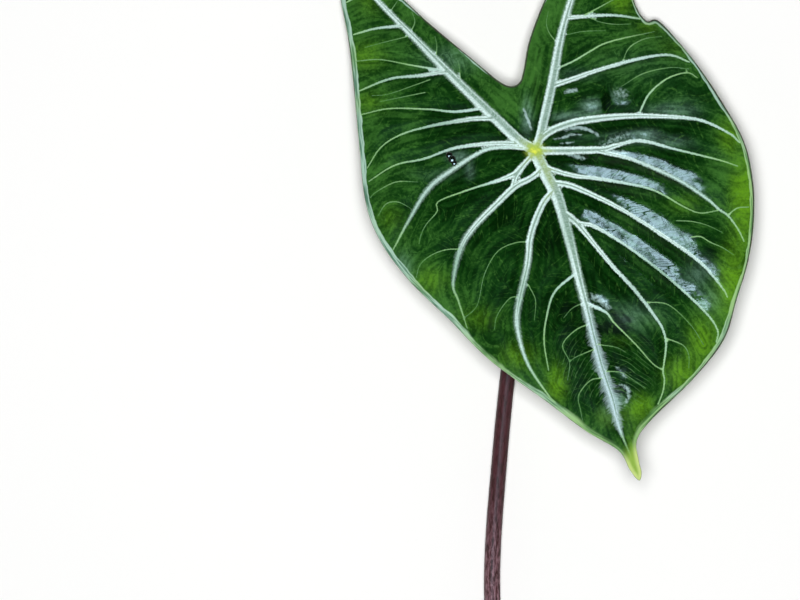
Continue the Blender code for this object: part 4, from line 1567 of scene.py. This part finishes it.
@dataclass
class SapDrops:
    """Dark drops of sap that stand together on the blade.

    Attributes:
        drops: Each one's place in the plan, and its radius.
        rise: Its half height for each mm of radius.
        lift: How far its middle stands above the blade in mm, which keeps it clear of the underside.
        segments: How many faces run round it, and how many from top to bottom.
    """

    drops: tuple[tuple[float, float, float], ...] = (
        (-42.4, -2.6, 1.7), (-41.0, -4.6, 1.9), (-39.9, -6.5, 1.4))
    rise: float = 0.45
    lift: float = 0.5
    segments: tuple[int, int] = (28, 14)

    def build(self, blade: Blade) -> bpy.types.Object:
        """Sets the drops on the blade.

        Args:
            blade: The blade that they stand on.

        Returns:
            The drops as one object.
        """
        xy = np.array(self.drops)[:, :2]
        height = blade.upper_side(xy, blade.measure(xy))
        shape = bmesh.new()
        for (x, y), z, (_, _, radius) in zip(xy + blade.shift(), height, self.drops):
            size = Matrix.Diagonal((radius * MM, radius * MM, radius * self.rise * MM, 1.0))
            place = Matrix.Translation((x * MM, y * MM, (z + self.lift) * MM)) @ size
            around, down = self.segments
            bmesh.ops.create_uvsphere(shape, u_segments=around, v_segments=down, radius=1.0, matrix=place)
        drops = new_piece("sap_drops", np.empty((0, 3)), [], [Sap().material()])
        shape.to_mesh(drops.data)
        shape.free()
        drops.data.shade_smooth()
        return drops


@dataclass
class Stalk:
    """The stalk, from the hub under the blade to its fresh cut.

    Attributes:
        plan: Its route in plan.
        bend: Radius of the bend under the blade.
        neck: How far it runs straight down before the bend.
        foot: Length of the level stretch at the cut.
        top_radius: Its radius at the blade.
        foot_radius: Its radius at the cut.
        flare: How much wider it grows where it meets the hub.
        flare_reach: How far down the flare runs.
        skin_inset: How far the grooved skin lies inside the radius.
        grooves: Depth, count round the stalk and turn of each set of grooves in the skin.
        lip: How far the cut is set in from the end, and the cut's radius as a share of the stalk's.
        packed_sides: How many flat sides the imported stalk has, one of which it rests on.
        sides: How many sides the dressed stalk has.
        step: Spacing of its rings.
        plan_step: Spacing of the points of its route in plan.
        arc_points: How many points draw the bend.
        fall_points: How many points draw the slope from the bend down to the foot.
        steep: The plan length of a leg, as a share of the leg, below which it counts as upright.
    """

    plan: tuple[tuple[float, float], ...] = ((0, 0), (-9, -80), (-16.5, -152.5), (-20.5, -221), (-15, -288))
    bend: float = 19.0
    neck: float = 2.0
    foot: float = 26.0
    top_radius: float = 3.5
    foot_radius: float = 4.3
    flare: float = 0.9
    flare_reach: float = 3.0
    skin_inset: float = 0.08
    grooves: tuple[tuple[float, int, float], ...] = ((0.05, 9, 0.0), (0.03, 23, 1.0))
    lip: tuple[float, float] = (0.35, 0.82)
    packed_sides: int = 14
    sides: int = 44
    step: float = 1.4
    plan_step: float = 2.0
    arc_points: int = 25
    fall_points: int = 120
    steep: float = 0.05

    def route(self, top_height: float) -> np.ndarray:
        """Draws the centre line, from the hub down round the bend and along to the cut.

        Args:
            top_height: Height of its upper end.

        Returns:
            Its points, evenly spaced.
        """
        plan = smooth_route(list(self.plan), self.plan_step)
        run = run_of(plan)
        foot_height = self.foot_radius * math.cos(math.pi / self.packed_sides)
        knee = top_height - self.neck - self.bend
        places = [(0.0, top_height)]
        for angle in np.linspace(0.0, math.pi / 2, self.arc_points):
            places.append((self.bend * (1 - math.cos(angle)), knee + self.bend * (1 - math.sin(angle))))
        foot_start = run[-1] - self.foot
        for share in np.linspace(0.0, 1.0, self.fall_points)[1:]:
            height = foot_height + (knee - foot_height) * (1 - share) ** 2
            places.append((taper((self.bend, foot_start), share), height))
        places.append((run[-1], foot_height))
        s, z = np.array(places).T
        rough = np.column_stack([np.interp(s, run, plan[:, 0]), np.interp(s, run, plan[:, 1]), z])
        length = run_of(rough)
        even = np.linspace(0.0, length[-1], round(length[-1] / self.step))
        return np.stack([np.interp(even, length, axis) for axis in rough.T], axis=1)

    def ring(self, centre: np.ndarray, ahead: np.ndarray, radius: float) -> np.ndarray:
        """Draws the grooved skin round one place of the centre line.

        Args:
            centre: The place.
            ahead: Which way the stalk runs there.
            radius: Its radius there.

        Returns:
            The ring's points, from the stalk's underside round to its left.
        """
        level = np.array([ahead[0], ahead[1], 0.0])
        if np.linalg.norm(level) <= self.steep * np.linalg.norm(ahead):
            level = np.array([*self.plan[1], 0.0])
        across = np.cross(level, (0.0, 0.0, 1.0))
        across = across / np.linalg.norm(across)
        up = np.cross(across, ahead)
        up = up / np.linalg.norm(up)
        points = []
        for angle in np.linspace(0.0, 2 * math.pi, self.sides, endpoint=False):
            groove = sum(depth * math.sin(count * angle + turn) for depth, count, turn in self.grooves)
            out = math.sin(angle) * across - math.cos(angle) * up
            points.append(centre + (radius - self.skin_inset + groove) * out)
        return np.array(points)

    def build(self, shift: np.ndarray, top_height: float) -> bpy.types.Object:
        """Builds the stalk.

        Args:
            shift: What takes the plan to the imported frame, in mm.
            top_height: Height of the stalk's upper end, in mm.

        Returns:
            The stalk's object.
        """
        route = self.route(top_height)
        way = np.gradient(route, axis=0)
        way[0] = (0.0, 0.0, -1.0)
        way[-2:, 2] = 0.0
        run = run_of(route)
        rings = []
        for centre, ahead, place in zip(route, way, run):
            share = min(place / (run[-1] - self.foot), 1.0)
            radius = taper((self.top_radius, self.foot_radius), share)
            radius += self.flare * math.exp(-(place / self.flare_reach) ** 2)
            rings.append(self.ring(centre, ahead, radius))
        rings = np.vstack(rings)
        last = len(rings) - self.sides
        inset, narrowing = self.lip
        end = route[-1] - way[-1] / np.linalg.norm(way[-1]) * inset
        inner = end + (rings[last:] - route[-1]) * narrowing
        points = np.vstack([rings, inner, end, route[0]])
        points[:, 2] = np.maximum(points[:, 2], 0.0)
        points[:, :2] += shift

        hub, middle, lip = len(points) - 1, len(points) - 2, len(rings)
        skin, cut = [], []
        for i in range(self.sides):
            j = (i + 1) % self.sides
            for s in range(0, last, self.sides):
                skin.append((s + j, s + i, s + self.sides + i, s + self.sides + j))
            skin.append((i, j, hub))
            cut += [(last + j, last + i, lip + i, lip + j), (lip + j, lip + i, middle)]
        finishes = [StalkSkin().material(), CutFace().material()]
        stalk = new_piece("mottled_stalk", points * MM, skin + cut, finishes)
        stalk.data.polygons.foreach_set("material_index", np.repeat([0, 1], [len(skin), len(cut)]))
        around = np.linspace(0.0, 2 * math.pi, self.sides, endpoint=False) * self.foot_radius
        on_cut = self.sides + 1
        stored = {
            "stalk_run": [np.repeat(run, self.sides), [run[-1]] * on_cut, [0.0]],
            "stalk_side": [np.tile(around, len(run) + 1), [0.0, 0.0]],
            "stalk_out": [np.ones(len(rings)), [narrowing] * self.sides, [0.0, 0.0]],
        }
        for name, values in stored.items():
            store(stalk, name, np.concatenate(values))
        return stalk


@dataclass
class Stage:
    """The sheet, the lights and the camera.

    Attributes:
        view_centre: The point of the plan in the middle of the picture, in mm.
        view_width: How much of the leaf's plane the picture spans, in mm.
        camera_height: Height of the camera above the leaf's joint, in mm.
        sensor: Width of the camera's sensor, in mm.
        far: How far the camera sees, in metres.
        window_place: Where the window hangs from the joint, in metres.
        window_size: Its width and height in metres.
        window_power: Its power in watts.
        window_blue: The colour of its light.
        softbox_place: Where the softbox hangs from the joint, in metres.
        softbox_size: Its width and height in metres.
        softbox_power: Its power in watts.
        room_light: How strong the room's light is low down and high up.
        room_span: Where it starts to change and where it has changed, from 0 at the bottom to 1 at the top.
        sheet_reach: How far the sheet spreads from the origin, in metres.
    """

    view_centre: tuple[float, float] = (-67.0, -75.0)
    view_width: float = 400.0
    camera_height: float = 4000.0
    sensor: float = 36.0
    far: float = 20.0
    window_place: tuple[float, float, float] = (0.0, -0.396, 1.1)
    window_size: tuple[float, float] = (0.64, 0.62)
    window_power: float = 21.0
    window_blue: str = "#bfe0f2"
    softbox_place: tuple[float, float, float] = (-0.05, -0.1, 2.2)
    softbox_size: tuple[float, float] = (0.6, 0.6)
    softbox_power: float = 50.0
    room_light: tuple[float, float] = (0.35, 0.02)
    room_span: tuple[float, float] = (0.2, 0.75)
    sheet_reach: float = 3.0

    def sheet(self) -> None:
        """Lays the white sheet."""
        corners = self.sheet_reach * np.array([(-1, -1, 0), (1, -1, 0), (1, 1, 0), (-1, 1, 0)])
        new_piece("white_sheet", corners, [(0, 1, 2, 3)], [WhiteCard().material()])

    def lamp(self, name: str, place: Vector, target: Vector, size: tuple[float, float], power: float,
             colour: str) -> bpy.types.Object:
        """Hangs a rectangular lamp.

        Args:
            name: The lamp's name.
            place: Where it hangs, in metres.
            target: The point that it faces.
            size: Its width and height in metres.
            power: Its power in watts.
            colour: Its colour.

        Returns:
            The lamp's object.
        """
        lamp = bpy.data.lights.new(name, "AREA")
        lamp.shape = "RECTANGLE"
        lamp.size, lamp.size_y = size
        lamp.energy = power
        lamp.color = linear(colour)[:3]
        item = bpy.data.objects.new(name, lamp)
        item.location = place
        item.rotation_euler = (target - place).to_track_quat("-Z", "Y").to_euler()
        bpy.context.scene.collection.objects.link(item)
        return item

    def lights(self, joint: Vector) -> None:
        """Hangs the window that the gloss mirrors, and the softbox.

        Args:
            joint: The leaf's joint, in metres.
        """
        window = self.lamp("window", joint + Vector(self.window_place), joint, self.window_size,
                           self.window_power, self.window_blue)
        window.visible_diffuse = False
        softbox = self.lamp("softbox", joint + Vector(self.softbox_place), joint, self.softbox_size,
                            self.softbox_power, WHITE)
        softbox.visible_glossy = False

    def room(self) -> None:
        """Puts the pale room round the leaf, brighter low down."""
        world = bpy.data.worlds.new("pale_room")
        bpy.context.scene.world = world
        world.use_nodes = True
        tree = world.node_tree
        height = add_node(tree, HEIGHT, add_node(tree, DIRECTION))
        level = add_node(tree, FADE, height, *self.room_span, *self.room_light)
        tree.links.new(level, tree.nodes["Background"].inputs["Strength"])
        tree.nodes["Background"].inputs["Color"].default_value = linear(WHITE)

    def camera(self, shift: np.ndarray, joint: Vector) -> None:
        """Hangs the camera straight over the leaf, with a long lens.

        Args:
            shift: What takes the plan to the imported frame, in mm.
            joint: The leaf's joint, in metres.
        """
        camera = bpy.data.cameras.new("overhead_camera")
        camera.sensor_width = self.sensor
        camera.lens = self.sensor * self.camera_height / self.view_width
        camera.clip_end = self.far
        item = bpy.data.objects.new("overhead_camera", camera)
        centre = (np.array(self.view_centre) + shift) * MM
        item.location = (*centre, joint.z + self.camera_height * MM)
        bpy.context.scene.collection.objects.link(item)
        bpy.context.scene.camera = item

    def build(self, shift: np.ndarray, crown: float) -> None:
        """Sets up everything round the leaf.

        Args:
            shift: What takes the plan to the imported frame, in mm.
            crown: Height of the leaf's joint, in mm.
        """
        joint = Vector((*(shift * MM), crown * MM))
        self.sheet()
        self.lights(joint)
        self.room()
        self.camera(shift, joint)
        view = bpy.context.scene.view_settings
        view.view_transform = "Standard"
        view.look = "None"


def main() -> None:
    """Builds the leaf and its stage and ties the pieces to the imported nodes."""
    logging.basicConfig(level=logging.INFO, format="%(message)s")
    form = Blade()
    shift = form.shift()
    blade = form.build()
    stalk = Stalk().build(shift, form.hub_floor() + SEAT_DEPTH)
    drops = SapDrops().build(form)
    for piece, slot in ((blade, "leaf_green"), (stalk, "stalk_mauve"), (drops, "leaf_green")):
        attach(piece, BODY)
        logging.info("%s: %d faces", piece.name, len(piece.data.polygons))
    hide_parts(BLADE_NODE)
    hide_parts(STALK_NODE)
    Stage().build(shift, form.crown)
    logging.info("stage: sheet, window, softbox, room and camera over %d packed nodes", len(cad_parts))


if __name__ == "__main__":
    main()
